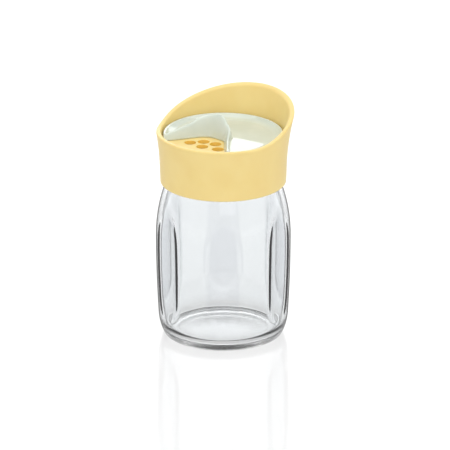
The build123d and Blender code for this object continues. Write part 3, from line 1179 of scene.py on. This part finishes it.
@dataclass
class ScrewCollar:
    """The collar: skirt, sieve floor with its holes, slanted rim, inside thread. In millimetres."""

    finishes: Finishes
    jar: GlassJar
    ring_thickness: float = 1.2
    sieve_thickness: float = 1.8
    thread_clearance: float = 0.3
    thread_gap: float = 1.4125
    thread_lead_in: float = 20.0
    thread_turns: float = 1.0
    thread_bead: tuple[float, float] = (1.1, 0.85)
    thread_sink: float = 0.1
    thread_swell: float = 8.0
    skirt_wall: float = 1.66
    skirt_below_neck: float = 2.9
    skirt_round: float = 0.4
    mouth_round: float = 0.3
    skirt_draft: float = 2.0
    flare_start: float = 8.2
    flare_bend: float = 113.0
    rim_wall: float = 2.2
    rim_low: float = 3.9
    rim_high: float = 16.75
    rim_fold_y: float = -8.0
    rim_fold_bend: float = 40.0
    rim_round: float = 0.9
    pocket_depth: float = 0.5
    pocket_step: float = 0.02
    hole_radius: float = 2.6
    hole_foot: float = 1.95
    hole_sides: int = 48
    hole_margin: float = 0.1
    hole_places: tuple[tuple[float, float], ...] = (
        (-14.8, -5.4), (-8.8, -4.3), (-3.5, -7.5), (-9.4, -10.8), (-2.4, -14.3)
    )
    hole_turn: float = 36.0
    pin_hole: float = 2.08
    edge_round: float = 0.25
    columns: int = 320

    def __post_init__(self) -> None:
        """Works out the collar's levels and the flare's centre."""
        jar = self.jar
        self.sieve_underside = jar.height + self.ring_thickness
        self.sieve_top = self.sieve_underside + self.sieve_thickness
        self.skirt_bottom = jar.neck_base - self.skirt_below_neck
        self.skirt_bore = jar.neck_radius + jar.thread_depth + self.thread_clearance
        self.radius = self.skirt_bore + self.skirt_wall
        self.flare_base = self.skirt_bottom + self.flare_start
        lean = math.radians(self.skirt_draft)
        base_radius = self.radius + self.flare_start * math.tan(lean)
        self.flare_centre = (
            base_radius + self.flare_bend * math.cos(lean),
            self.flare_base - self.flare_bend * math.sin(lean),
        )
        self.rim_front = self.sieve_top + self.rim_low
        self.rim_top = self.sieve_top + self.rim_high
        self.rim_reach = float(self.flare(self.rim_top))
        self.pocket_radius = float(self.flare(self.sieve_top + self.pocket_depth, self.rim_wall))

    def flare(self, height: float | np.ndarray, offset: float = 0.0) -> float | np.ndarray:
        """Radius of the flare at a height, for the surface moved in by offset."""
        rise = height - self.flare_centre[1]
        return self.flare_centre[0] - np.sqrt((self.flare_bend + offset) ** 2 - rise**2)

    def outer(self, height: np.ndarray) -> np.ndarray:
        """Outer radius of the collar at a height."""
        skirt = self.radius + (height - self.skirt_bottom) * math.tan(math.radians(self.skirt_draft))
        return np.where(height < self.flare_base, skirt, self.flare(np.maximum(height, self.flare_base)))

    def inner(self, height: np.ndarray) -> np.ndarray:
        """Inner radius of the rim at a height."""
        return np.maximum(self.flare(height, self.rim_wall), self.pocket_radius)

    def cut(self, across: np.ndarray) -> np.ndarray:
        """Works out the height of the rim's slanted cut, level at the front and bent up behind.

        Args:
            across: Distances along Y.

        Returns:
            The cut's height at each.
        """
        slope = (self.rim_top - self.rim_front) / (self.rim_reach - self.rim_fold_y)
        angle = math.atan(slope)
        start = self.rim_fold_y - self.rim_fold_bend * math.tan(angle / 2)
        into = np.clip(across - start, 0.0, self.rim_fold_bend * math.sin(angle))
        bent = self.rim_front + self.rim_fold_bend - np.sqrt(self.rim_fold_bend**2 - into**2)
        straight = self.rim_front + slope * (across - self.rim_fold_y)
        return np.where(across - start > into, straight, bent)

    def corner(self, sine: np.ndarray, wall: Callable[[np.ndarray], np.ndarray]) -> np.ndarray:
        """Finds where the cut meets one side of the wall, closing in on it step by step.

        Args:
            sine: The sine of each column's angle.
            wall: Gives that side's radius at a height.

        Returns:
            Radius and height for each column.
        """
        height = np.full_like(sine, self.rim_front)
        for _ in range(12):
            height = self.cut(wall(height) * sine)
        return np.stack((wall(height), height), 1)

    @staticmethod
    def wall_run(
        wall: Callable[[np.ndarray], np.ndarray], start: np.ndarray, stop: np.ndarray, steps: int
    ) -> list[np.ndarray]:
        """Follows one side of the wall between two heights.

        Args:
            wall: Gives that side's radius at a height.
            start: Height of each column where the run starts.
            stop: Height of each column where it ends.
            steps: How many rows it takes.

        Returns:
            Rows of radius and height for every column.
        """
        heights = [start + (stop - start) * step / steps for step in range(1, steps + 1)]
        return [np.stack((wall(height), height), 1) for height in heights]

    def wall_rows(self, sine: np.ndarray) -> list[np.ndarray]:
        """Draws the wall from the bore's top, over the skirt's foot and the rim, to the sieve.

        Args:
            sine: The sine of each column's angle.

        Returns:
            Rows of radius and height for every column.
        """
        bore, bottom, full = self.skirt_bore, self.skirt_bottom, np.ones_like(sine)
        level = [(bore, z) for z in np.linspace(self.sieve_underside, bottom + self.mouth_round, 24)]
        level += [
            (bore + self.mouth_round * out, bottom + self.mouth_round * up)
            for up, out in quarter_round(4)
        ]
        level += [
            (self.radius - self.skirt_round * left, bottom + self.skirt_round * up)
            for left, up in quarter_round(4, 0)
        ]
        rows = [full[:, None] * np.array(point) for point in level]
        outer, inner = self.corner(sine, self.outer), self.corner(sine, self.inner)
        outer_end, inner_end = outer[:, 1] - self.rim_round, inner[:, 1] - self.rim_round
        rows += self.wall_run(self.outer, full * (bottom + self.skirt_round), outer_end, 53)
        along = unit(inner - outer) * self.rim_round
        before, after = (self.outer(outer_end), outer_end), (self.inner(inner_end), inner_end)
        for corner, start, stop, first in (
            (outer, np.stack(before, 1), outer + along, 1),
            (inner, inner - along, np.stack(after, 1), 0),
        ):
            for left, past in quarter_round(7, first):
                rows.append(corner + (start - corner) * left + (stop - corner) * past)
        rows += self.wall_run(self.inner, inner_end, full * (self.sieve_top + self.pocket_step), 39)
        return rows

    def holes(self) -> list[tuple[np.ndarray, float, float]]:
        """Places the holes of the sieve floor, the pin's among them.

        Returns:
            Centre, upper and lower radius of each hole.
        """
        places = turned(np.array(self.hole_places), self.hole_turn)
        sieve = [(place, self.hole_radius, self.hole_foot) for place in places]
        return [(np.zeros(2), self.pin_hole, self.pin_hole), *sieve]

    def mouth(
        self, draft: MeshDraft, centre: np.ndarray, radius: float, level: float, inward: int
    ) -> tuple[np.ndarray, np.ndarray, np.ndarray]:
        """Draws one mouth of a hole: a flat ring and the rounded edge inside it.

        Args:
            draft: The shell that it belongs to.
            centre: The hole's centre.
            radius: The hole's radius inside the rounded edge.
            level: Height of the face that it opens in.
            inward: Which way the hole goes from there, 1 for up and -1 for down.

        Returns:
            The flat ring's outline in the plane, its indices, and those of the edge's last row.
        """
        width, sides = radius + self.edge_round, self.hole_sides
        outline = circle(width + self.hole_margin, sides, centre)
        rows = [draft.row(at_height(line, level)) for line in (outline, circle(width, sides, centre))]
        steps = quarter_round(3)
        for step, (inset, depth) in enumerate(steps, 1):
            line = circle(radius + self.edge_round * inset, sides, centre)
            height = level + inward * self.edge_round * depth
            # The edge and the wall of the hole carry the mask of the holes' painted shade.
            rows.append(draft.row(at_height(line, height), deep=step / len(steps)))
        draft.strip(*rows)
        return outline, rows[0], rows[-1]

    def floor(self, draft: MeshDraft, top_rim: np.ndarray, under_rim: np.ndarray, angles: np.ndarray) -> None:
        """Closes the shell with the sieve floor and its holes.

        Args:
            draft: The shell.
            top_rim: Indices of the wall's row around the floor's upper face.
            under_rim: Indices of the wall's row around its underside.
            angles: Angles of those rows' columns in radians.
        """
        levels, ways = (self.sieve_top, self.sieve_underside), (-1, 1)
        outlines = [[around(radius, angles)] for radius in (self.pocket_radius, self.skirt_bore)]
        indices = [[top_rim], [under_rim]]
        for centre, *radii in self.holes():
            ends = []
            for face in (0, 1):
                outline, flat, end = self.mouth(draft, centre, radii[face], levels[face], ways[face])
                outlines[face].append(outline)
                indices[face].append(flat)
                ends.append(end)
            draft.strip(*ends)
        for face in (0, 1):
            draft.pierced(outlines[face], indices[face])

    def shell(self) -> bpy.types.Object:
        """Builds the collar's one closed shell.

        Returns:
            The shell as an object.
        """
        draft = MeshDraft()
        angles = np.arange(self.columns) * 2 * math.pi / self.columns
        walls = self.wall_rows(np.sin(angles))
        rows = [draft.row(at_height(around(wall[:, 0], angles), wall[:, 1])) for wall in walls]
        top = draft.row(at_height(around(self.pocket_radius, angles), self.sieve_top))
        draft.strip(*rows, top)
        self.floor(draft, top, rows[0], angles)
        return draft.build("collar_shell")

    def thread_base(self) -> float:
        """Height at which the collar's thread starts, just below the neck's."""
        climb = self.jar.thread_pitch * self.thread_lead_in / FULL_TURN
        return self.jar.height - self.jar.thread_drop + climb - self.thread_gap

    def thread(self) -> bpy.types.Object:
        """Builds the collar's inside thread, a bead swept along a helix.

        Returns:
            The thread as an object.
        """
        values = {
            "Turns": self.thread_turns,
            "Radius": (self.skirt_bore - self.thread_sink) * MM,
            "Climb": self.thread_turns * self.jar.thread_pitch * MM,
            "Start Angle": math.radians(self.thread_lead_in),
            "Start Height": self.thread_base() * MM,
            "Bead Depth": self.thread_bead[0] * MM,
            "Bead Height": self.thread_bead[1] * MM,
            "Swell": self.thread_swell,
        }
        tree = ShapeTree("collar_thread_sweep", values)
        inputs = {
            "Resolution": 96,
            "Rotations": (tree.input, "Turns"),
            "Start Radius": (tree.input, "Radius"),
            "End Radius": (tree.input, "Radius"),
            "Height": (tree.input, "Climb"),
        }
        helix = tree.add("GeometryNodeCurveSpiral", inputs)
        upright = tree.add("GeometryNodeSetCurveNormal", {"Curve": (helix, "Curve")}, mode="Z_UP")
        # The bead swells from nothing at both ends of the helix, and is full between.
        along = tree.add("GeometryNodeSplineParameter")
        half_turn = tree.add("ShaderNodeMath", {0: (along, "Factor"), 1: math.pi}, operation="MULTIPLY")
        arch = tree.add("ShaderNodeMath", {0: (half_turn, "Value")}, operation="SINE")
        inputs = {0: (arch, "Value"), 1: (tree.input, "Swell")}
        thick = tree.add("ShaderNodeMath", inputs, operation="MULTIPLY", use_clamp=True)
        inputs = {"Curve": (upright, "Curve"), "Radius": (thick, "Value")}
        path = tree.add("GeometryNodeSetCurveRadius", inputs)
        ring = tree.add("GeometryNodeCurvePrimitiveCircle", {"Resolution": 20, "Radius": 1.0})
        inputs = {"X": (tree.input, "Bead Height"), "Y": (tree.input, "Bead Depth"), "Z": 1.0}
        size = tree.add("ShaderNodeCombineXYZ", inputs)
        bead = tree.add("GeometryNodeTransform", {"Geometry": (ring, "Curve"), "Scale": (size, "Vector")})
        inputs = {"Curve": (path, "Curve"), "Profile Curve": (bead, "Geometry"), "Fill Caps": True}
        sweep = tree.add("GeometryNodeCurveToMesh", inputs)
        turn = tree.add("ShaderNodeCombineXYZ", {"Z": (tree.input, "Start Angle")})
        lift = tree.add("ShaderNodeCombineXYZ", {"Z": (tree.input, "Start Height")})
        inputs = {"Geometry": (sweep, "Mesh"), "Translation": (lift, "Vector"), "Rotation": (turn, "Vector")}
        whole = tree.add("GeometryNodeTransform", inputs)
        tree.finish((whole, "Geometry"), self.finishes.yellow)
        return tree.run(placed("collar_thread", bpy.data.meshes.new("collar_thread")))

    def build(self) -> None:
        """Builds and dresses the collar's pieces."""
        shell = self.shell()
        dress(shell, self.finishes.yellow, Body.COLLAR, Slot.YELLOW)
        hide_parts("screw_collar")
        dress(self.thread(), self.finishes.yellow, Body.COLLAR, Slot.YELLOW)


# Rotary dial


@dataclass
class RotaryDial:
    """The dial: dish, lip, notch, finger ridge and snap pin. Millimetres, in the dial's own turn."""

    finishes: Finishes
    collar: ScrewCollar
    gap: float = 0.5
    lift: float = 0.1
    height: float = 3.1
    angle: float = 36.0
    lip: float = 1.5
    lip_round: float = 0.6
    lip_blend: float = 0.45
    lip_band: float = 1.0
    notch_round: float = 0.12
    corner_round: float = 0.9
    foot_chamfer: float = 0.15
    dish: float = 1.7
    bowl: float = -0.8
    bank: float = 4.0
    bank_past: float = 1.15
    near_corner: tuple[float, float] = (0.5, -4.8)
    far_corner: tuple[float, float] = (-6.6, 2.3)
    notch_slope: float = 18.0
    near_round: float = 3.6
    far_round: float = 7.0
    ridge_stations: tuple[float, ...] = (-20.0, -13.0, -7.0, -2.0, 1.5, 5.5, 9.3, 12.5, 18.0, 30.0)
    ridge_heights: tuple[float, ...] = (2.6, 4.7, 6.5, 9.0, 10.1, 9.5, 6.3, 4.3, 3.5, 2.9)
    ridge_widths: tuple[float, ...] = (1.8, 2.4, 3.0, 3.8, 4.0, 3.6, 2.6, 1.9, 1.5, 1.5)
    ridge_backs: tuple[float, ...] = (2.0, 2.4, 2.8, 3.2, 3.2, 2.6, 1.9, 1.7, 1.8, 1.8)
    ridge_edge: float = 0.4
    ridge_sink: float = 0.6
    ridge_wall: float = 2.8
    face_handles: tuple[tuple[float, float], ...] = ((0.3, 0.5), (0.6, 1.0))
    back_handles: tuple[tuple[float, float], ...] = ((0.5, 0.0), (0.5, 1.0))
    fillet: float = 1.1
    hollow_rim: tuple[float, float] = (1.2, 2.2)
    hollow_pin: tuple[float, float] = (0.8, 1.3)
    roof: float = 1.0
    pin_radius: float = 2.0
    pin_slot: float = 0.7
    pin_root: float = 0.2
    prongs: int = 4
    barb: float = 0.45
    barb_length: float = 2.0
    barb_gap: float = 0.1
    barb_chamfer: tuple[float, float] = (0.1, 0.15)
    barb_wear: float = 0.02
    edge_step: float = 0.12
    outline_points: int = 560
    row_step: float = 0.36
    face_rows: tuple[float, ...] = (
        0.07, 0.14, 0.22, 0.3, 0.39, 0.48, 0.57, 0.66, 0.74, 0.82, 0.89, 0.95, 1.0
    )
    back_rows: tuple[float, ...] = (
        0.08, 0.16, 0.25, 0.34, 0.43, 0.52, 0.61, 0.7, 0.79, 0.88, 1.0, 1.15, 1.35
    )
    row_margin: float = 0.15
    grid_step: float = 0.8
    grid_margin: float = 0.22
    rows_margin: float = 0.25
    bank_band: tuple[float, float] = (6.0, 0.7)
    bank_step: tuple[float, float] = (0.3, 0.6)

    def __post_init__(self) -> None:
        """Works out the dial's radius, its level and the notch's edge."""
        self.radius = self.collar.pocket_radius - self.gap
        self.base = self.collar.sieve_top + self.lift
        self.edge, self.edge_heading, self.edge_length = self.notch_line()

    def notch_line(self) -> tuple[np.ndarray, np.ndarray, np.ndarray]:
        """Draws the notch's edge from beyond the rim to beyond the front.

        Returns:
            Its points, their headings, and their lengths past the far corner.
        """
        reach, slope = 2 * self.radius, math.radians(self.notch_slope)
        far, near = np.array(self.far_corner), np.array(self.near_corner)
        first, last = np.array((math.cos(slope), math.sin(slope))), np.array((0.0, -1.0))
        middle = (near - far) / np.hypot(*(near - far))
        far_cut, near_cut = cut_back(first, middle, self.far_round), cut_back(middle, last, self.near_round)
        line = Outline(far - reach * first, first)
        line.line(far - first * far_cut, 240).arc(far + middle * far_cut, 40)
        line.line(near - middle * near_cut, 12).arc(near + last * near_cut, 20)
        line.line((near[0], -reach), 240)
        even = np.arange(0.0, length_along(line.array())[-1], self.edge_step)
        points = points_at(line.array(), even)
        return points, unit(np.gradient(points, axis=0)), even - reach

    def ridge_place(self, points: np.ndarray) -> tuple[np.ndarray, np.ndarray]:
        """Places plane points beside the notch's edge.

        Args:
            points: Points to place, one a row.

        Returns:
            Their lengths past the notch's far corner, and their distances behind its edge.
        """
        place, _ = nearest(points, self.edge)
        heading = self.edge_heading[place]
        offset = points - self.edge[place]
        along = self.edge_length[place] + (offset * heading).sum(1)
        across = heading[:, 0] * offset[:, 1] - heading[:, 1] * offset[:, 0]
        return along, across

    def ridge_size(self, sizes: Sequence[float], along: np.ndarray) -> np.ndarray:
        """Works out one size of the ridge, smooth between the stations.

        Args:
            sizes: The size at each station.
            along: Lengths along the notch's edge.

        Returns:
            The size at each length.
        """
        stations, values = np.array(self.ridge_stations), np.array(sizes)
        slopes = np.empty_like(values)
        slopes[1:-1] = (values[2:] - values[:-2]) / (stations[2:] - stations[:-2])
        slopes[0] = (values[1] - values[0]) / (stations[1] - stations[0])
        slopes[-1] = (values[-1] - values[-2]) / (stations[-1] - stations[-2])
        along = np.clip(along, stations[0], stations[-1])
        here = np.clip(np.searchsorted(stations, along, side="right") - 1, 0, len(stations) - 2)
        gap = stations[here + 1] - stations[here]
        share = (along - stations[here]) / gap
        ease = share**2 * (3 - 2 * share)
        bend = gap * share * (1 - share) * ((1 - share) * slopes[here] - share * slopes[here + 1])
        return values[here] * (1 - ease) + values[here + 1] * ease + bend

    def ridge_sizes(self, along: np.ndarray) -> tuple[np.ndarray, ...]:
        """Crest height, front width and back width of the ridge along the notch's edge."""
        sizes = (self.ridge_heights, self.ridge_widths, self.ridge_backs)
        return tuple(self.ridge_size(values, along) for values in sizes)

    def ridge_height(self, points: np.ndarray) -> np.ndarray:
        """Works out the ridge's surface, a face up from the notch and a back down to the dish.

        Args:
            points: Plane points, one a row.

        Returns:
            The ridge's height over each.
        """
        along, across = self.ridge_place(points)
        crest, width, back = self.ridge_sizes(along)
        face = self.ridge_edge + (crest - self.ridge_edge) * eased(across / width, self.face_handles)
        fall = (crest + self.ridge_sink) * eased((across - width) / back, self.back_handles)
        return np.where(across < width, face, crest - fall)

    def top(self, points: np.ndarray) -> np.ndarray:
        """Works out the dial's upper surface: the dish, its bank and lip, and the ridge.

        Args:
            points: Plane points, one a row.

        Returns:
            Heights above the dial's underside.
        """
        radius, lip_edge = np.hypot(*points.T), self.radius - self.lip
        rise = self.height - self.dish
        bend = (self.bank**2 + rise**2) / (2 * rise)
        into = np.clip(radius - lip_edge + self.bank, 0.0, self.bank * self.bank_past)
        bank = self.dish + self.bowl * (radius / lip_edge) ** 2 + bend - np.sqrt(bend**2 - into**2)
        disc = blend_min(bank, np.full_like(bank, self.height), self.lip_blend)
        along, across = self.ridge_place(points)
        share = np.clip(across / self.ridge_sizes(along)[1], 0.0, 1.0)
        return blend_max(disc * share**2 * (3 - 2 * share), self.ridge_height(points), self.fillet * share)

    def boundary(self) -> tuple[np.ndarray, np.ndarray, np.ndarray]:
        """Draws the dial's outline, the notch's edge closed by the rim.

        Returns:
            Its points counter-clockwise, their inward normals, and the edge's rounding at each.
        """
        within = np.flatnonzero(np.hypot(*self.edge.T) < self.radius)
        notch = self.edge[within[0] : within[-1] + 1]
        first, last = math.atan2(*notch[-1][::-1]), math.atan2(*notch[0][::-1]) % (2 * math.pi)
        rim = around(self.radius, np.linspace(first, last, 420))
        # The line starts on the rim, so that both corners stand well inside it.
        loop = np.roll(np.vstack((notch[::3], rim[1:-1])), 100, axis=0)
        for corner in (notch[0], notch[-1]):
            loop = soften(loop, corner, self.corner_round)
        closed = np.vstack((loop, loop[:1]))
        even = np.linspace(0.0, length_along(closed)[-1], self.outline_points, endpoint=False)
        loop = points_at(closed, even)
        normal = left_of(unit(np.roll(loop, -1, axis=0) - np.roll(loop, 1, axis=0)))
        on_rim = np.clip((np.hypot(*loop.T) - self.radius) / self.lip_band + 1.0, 0.0, 1.0)
        return loop, normal, self.notch_round + (self.lip_round - self.notch_round) * on_rim

    def rows(self) -> list[np.ndarray]:
        """Spaces rows of points along the ridge, so that its mesh follows the crest.

        Returns:
            Rows from the notch's edge over the crest to the back's foot, set like bricks.
        """
        _, width, back = self.ridge_sizes(self.edge_length)
        across = [share * width for share in self.face_rows]
        across += [width + share * back for share in self.back_rows]
        rows = []
        for number, offset in enumerate(across):
            line = self.edge + left_of(self.edge_heading) * offset[:, None]
            start = self.row_step * (0.25 + 0.5 * (number % 2))
            rows.append(points_at(line, np.arange(start, length_along(line)[-1], self.row_step)))
        return rows

    def field_points(self, loop: np.ndarray, rounding: np.ndarray) -> tuple[np.ndarray, list[np.ndarray]]:
        """Spaces the surface's points: rows along the ridge, rings on the bank, a grid between.

        Args:
            loop: The dial's outline.
            rounding: The edge's rounding at each point of the outline.

        Returns:
            The points, and the runs of places in them whose edges have to stay.
        """
        kept, chains, count = [], [], 0
        for row in self.rows():
            place, gap = nearest(row, loop)
            places = np.flatnonzero(inside(loop, row) & (gap > rounding[place] + self.row_margin))
            kept.append(row[places])
            for run in np.split(np.arange(len(places)), np.flatnonzero(np.diff(places) > 1) + 1):
                chains.append(run + count)
            count += len(places)
        (within, short), (apart, spacing) = self.bank_band, self.bank_step
        radii = np.arange(self.radius - within, self.radius - short, apart)
        rings = [circle(radius, int(2 * math.pi * radius / spacing)) for radius in radii]
        span = np.arange(-self.radius, self.radius, self.grid_step)
        grid_x, grid_y = np.meshgrid(span, span * math.sqrt(3) / 2)
        grid_x = grid_x + (np.arange(len(span)) % 2)[:, None] * self.grid_step / 2
        grid = np.stack((grid_x.ravel(), grid_y.ravel()), 1)
        grid = grid[np.hypot(*grid.T) < self.radius - within - apart]
        points = np.vstack((*rings, grid))
        points = points[inside(loop, points)]
        along, across = self.ridge_place(points)
        _, width, back = self.ridge_sizes(along)
        points = points[across > width + self.back_rows[-1] * back + self.rows_margin]
        place, gap = nearest(points, loop)
        kept.append(points[gap > rounding[place] + self.grid_margin])
        return np.vstack(kept), chains

    def in_frame(self, points: np.ndarray, height: float | np.ndarray) -> np.ndarray:
        """Points of the dial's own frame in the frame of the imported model."""
        return at_height(turned(points, self.angle), height + self.base)

    def underside(self, points: np.ndarray, upper: np.ndarray, loop: np.ndarray) -> np.ndarray:
        """Works out the dial's underside, flat but hollow under the ridge.

        Args:
            points: Plane points, one a row.
            upper: Height of the upper surface over each.
            loop: The dial's outline.

        Returns:
            Heights above the dial's lowest face.
        """
        hollow = np.maximum(0.0, self.ridge_height(points) - self.ridge_wall)
        past_rim, past_pin = nearest(points, loop)[1], np.hypot(*points.T) - self.pin_radius
        for past, (start, full) in ((past_rim, self.hollow_rim), (past_pin, self.hollow_pin)):
            hollow *= np.clip((past - start) / (full - start), 0.0, 1.0)
        return np.minimum(hollow, np.maximum(upper - self.roof, 0.0))

    def shell(self) -> bpy.types.Object:
        """Builds the dial's one closed shell, hollow under the ridge.

        Returns:
            The shell as an object.
        """
        draft = MeshDraft()
        loop, normal, rounding = self.boundary()
        edge, count = loop + normal * rounding[:, None], len(loop)
        field, chains = self.field_points(loop, rounding)
        flat = np.vstack((edge, field))
        upper = self.top(flat)
        top = draft.row(self.in_frame(flat, upper))
        under = draft.row(self.in_frame(flat, self.underside(flat, upper, loop)))
        triangles = triangles_of(flat, [np.arange(count)], [chain + count for chain in chains])
        triangles = triangles[inside(edge, flat[triangles].mean(axis=1))]
        draft.cells(top, triangles)
        draft.cells(under, triangles)
        rows = [top[:count]]
        for inset, drop in quarter_round(5):
            line = loop + normal * (rounding * inset)[:, None]
            rows.append(draft.row(self.in_frame(line, upper[:count] - rounding * drop)))
        wall_top = upper[:count] - rounding
        wall_foot = np.minimum(self.foot_chamfer, wall_top / 2)
        for height in ((wall_top + wall_foot) / 2, wall_foot):
            rows.append(draft.row(self.in_frame(loop, height)))
        draft.strip(*rows, under[:count])
        return draft.build("dial_shell", sharp=50.0)

    def pin(self) -> bpy.types.Object:
        """Builds the split snap pin: one prong, set several times around the axis.

        Returns:
            The pin as one object.
        """
        draft = MeshDraft()
        barb_top = self.collar.sieve_underside - self.barb_gap
        slot, wide = self.pin_slot / 2, self.pin_radius + self.barb - self.barb_wear
        bevel_in, bevel_down = self.barb_chamfer
        levels = (
            (barb_top - self.barb_length, self.pin_radius - self.barb),
            (barb_top - bevel_down, wide),
            (barb_top, wide - bevel_in),
            (barb_top, self.pin_radius),
            (self.base + self.pin_root, self.pin_radius),
        )
        rows = []
        for height, radius in levels:
            end = math.asin(slot / radius)
            outline = np.vstack(([slot, slot], around(radius, np.linspace(end, QUARTER_TURN - end, 9))))
            rows.append(draft.row(at_height(outline, height)))
        draft.strip(*rows)
        middle = self.pin_radius / 2
        for row, (height, _) in ((rows[0], levels[0]), (rows[-1], levels[-1])):
            draft.fan(row, (middle, middle, height))
        prong = draft.build("snap_pin")
        piece = copies_around("pin_prongs", self.prongs, 0.0, self.finishes.white).run(prong)
        piece.data.set_sharp_from_angle(angle=math.radians(35.0))
        return piece

    def build(self) -> None:
        """Builds and dresses the dial's pieces."""
        shell = self.shell()
        dress(shell, self.finishes.white, Body.DIAL, Slot.WHITE)
        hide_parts("rotary_dial")
        dress(self.pin(), self.finishes.white, Body.DIAL, Slot.WHITE)


# Studio


@dataclass(frozen=True)
class Panel:
    """A soft light panel. Its place is in metres from the frame's origin, its power in watts."""

    name: str
    place: tuple[float, float, float]
    size: tuple[float, float]
    power: float
    use: Light = Light.BOTH

    def build(self, aim: tuple[float, float, float]) -> None:
        """Hangs the panel.

        Args:
            aim: The point that it faces.
        """
        data = bpy.data.lights.new(self.name, "AREA")
        data.shape = "RECTANGLE"
        data.size, data.size_y = self.size
        data.energy = self.power
        lamp = placed(self.name, data)
        lamp.location = self.place
        lamp.rotation_euler = (Vector(aim) - Vector(self.place)).to_track_quat("-Z", "Y").to_euler()
        lamp.visible_camera = False
        lamp.visible_glossy = self.use is not Light.MATT
        lamp.visible_diffuse = self.use is not Light.GLOSS


@dataclass
class Studio:
    """The pale table, the soft lights and the camera. Lengths in metres."""

    azimuth: float = 36.0
    elevation: float = 20.5
    distance: float = 3.0
    far_end: float = 20.0
    pixel_mm: float = 0.45
    frame_pixels: int = 450
    sensor_mm: float = 36.0
    axis_pixel: tuple[float, float] = (223.3, 330.7)
    table_size: float = 4.0
    table_colour: str = "#8A8A8A"
    table_roughness: float = 0.12
    table_ior: float = 1.3
    table_glow: float = 0.63
    ring: float = 0.9
    dome: float = 0.3
    ring_top: tuple[float, float] = (0.5, 0.75)
    aim: tuple[float, float, float] = (0.0, 0.0, 0.06)
    panels: tuple[Panel, ...] = (
        Panel("top", (0.0, 0.0, 1.2), (1.4, 1.4), 10.1),
        Panel("front", (0.9, -0.9, 0.7), (0.8, 0.8), 2.9, Light.MATT),
        Panel("back", (-0.94, 1.29, 0.62), (2.0, 0.9), 10.5, Light.GLOSS),
    )

    def camera(self) -> None:
        """Sets the camera at the photograph's angle, a long lens far away."""
        turn, rise = math.radians(self.azimuth), math.radians(self.elevation)
        right = Vector((math.cos(turn), math.sin(turn), 0.0))
        towards = Vector((-math.sin(turn) * math.cos(rise), math.cos(turn) * math.cos(rise), -math.sin(rise)))
        middle, pixel = self.frame_pixels / 2, self.pixel_mm * MM
        aside = (middle - self.axis_pixel[0]) * pixel
        height = (self.axis_pixel[1] - middle) * pixel / math.cos(rise)
        data = bpy.data.cameras.new("camera")
        data.sensor_width = self.sensor_mm
        data.lens = self.sensor_mm * self.distance / (self.frame_pixels * pixel)
        data.clip_end = self.far_end
        camera = placed("camera", data)
        camera.location = right * aside + Vector((0.0, 0.0, height)) - towards * self.distance
        camera.rotation_euler = towards.to_track_quat("-Z", "Y").to_euler()
        bpy.context.scene.camera = camera

    def table(self) -> None:
        """Lays the pale, slightly glossy table, which glows a little as a lit sweep does."""
        half = self.table_size / 2
        mesh = bpy.data.meshes.new("table")
        corners = [(-half, -half, 0.0), (half, -half, 0.0), (half, half, 0.0), (-half, half, 0.0)]
        mesh.from_pydata(corners, [], [(0, 1, 2, 3)])
        sockets = {
            "Base Color": srgb(self.table_colour),
            "Roughness": self.table_roughness,
            "IOR": self.table_ior,
            "Emission Color": srgb(WHITE),
            "Emission Strength": self.table_glow,
        }
        mesh.materials.append(Finish("white_table", sockets).material)
        placed("table", mesh)

    def surround(self) -> bpy.types.World:
        """Makes the studio's surround, bright near the table and dimmer overhead.

        Returns:
            The surround as a world.
        """
        world = bpy.data.worlds.new("studio")
        world.use_nodes = True
        nodes = Nodes(world.node_tree)
        place = nodes.add("ShaderNodeTexCoord")
        parts = nodes.add("ShaderNodeSeparateXYZ", {"Vector": (place, "Generated")})
        low, high = self.ring_top
        inputs = {
            "Value": (parts, "Z"), "From Min": low, "From Max": high, "To Min": self.ring, "To Max": self.dome
        }
        span = nodes.add("ShaderNodeMapRange", inputs, interpolation_type="SMOOTHSTEP")
        background = world.node_tree.nodes["Background"]
        nodes.feed(background, "Color", srgb(WHITE))
        nodes.feed(background, "Strength", (span, "Result"))
        return world

    def build(self) -> None:
        """Sets up the table, the lights, the surround and the camera."""
        scene = bpy.context.scene
        scene.view_settings.view_transform = "Standard"
        scene.world = self.surround()
        self.table()
        for panel in self.panels:
            panel.build(self.aim)
        self.camera()


def main() -> None:
    """Builds the shaker and its studio, piece by piece."""
    logging.basicConfig(level=logging.INFO, format="%(name)s: %(message)s")
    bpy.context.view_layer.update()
    finishes = Finishes.make()
    jar = GlassJar(finishes)
    collar = ScrewCollar(finishes, jar)
    dial = RotaryDial(finishes, collar)
    for part in (jar, collar, dial):
        part.build()
    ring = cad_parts["sealing_ring"]
    ring.data.materials.clear()
    ring.data.materials.append(finishes.silicone)
    log.info("%s: %d faces of the packed model", ring.name, len(ring.data.polygons))
    Studio().build()


if __name__ == "__main__":
    main()
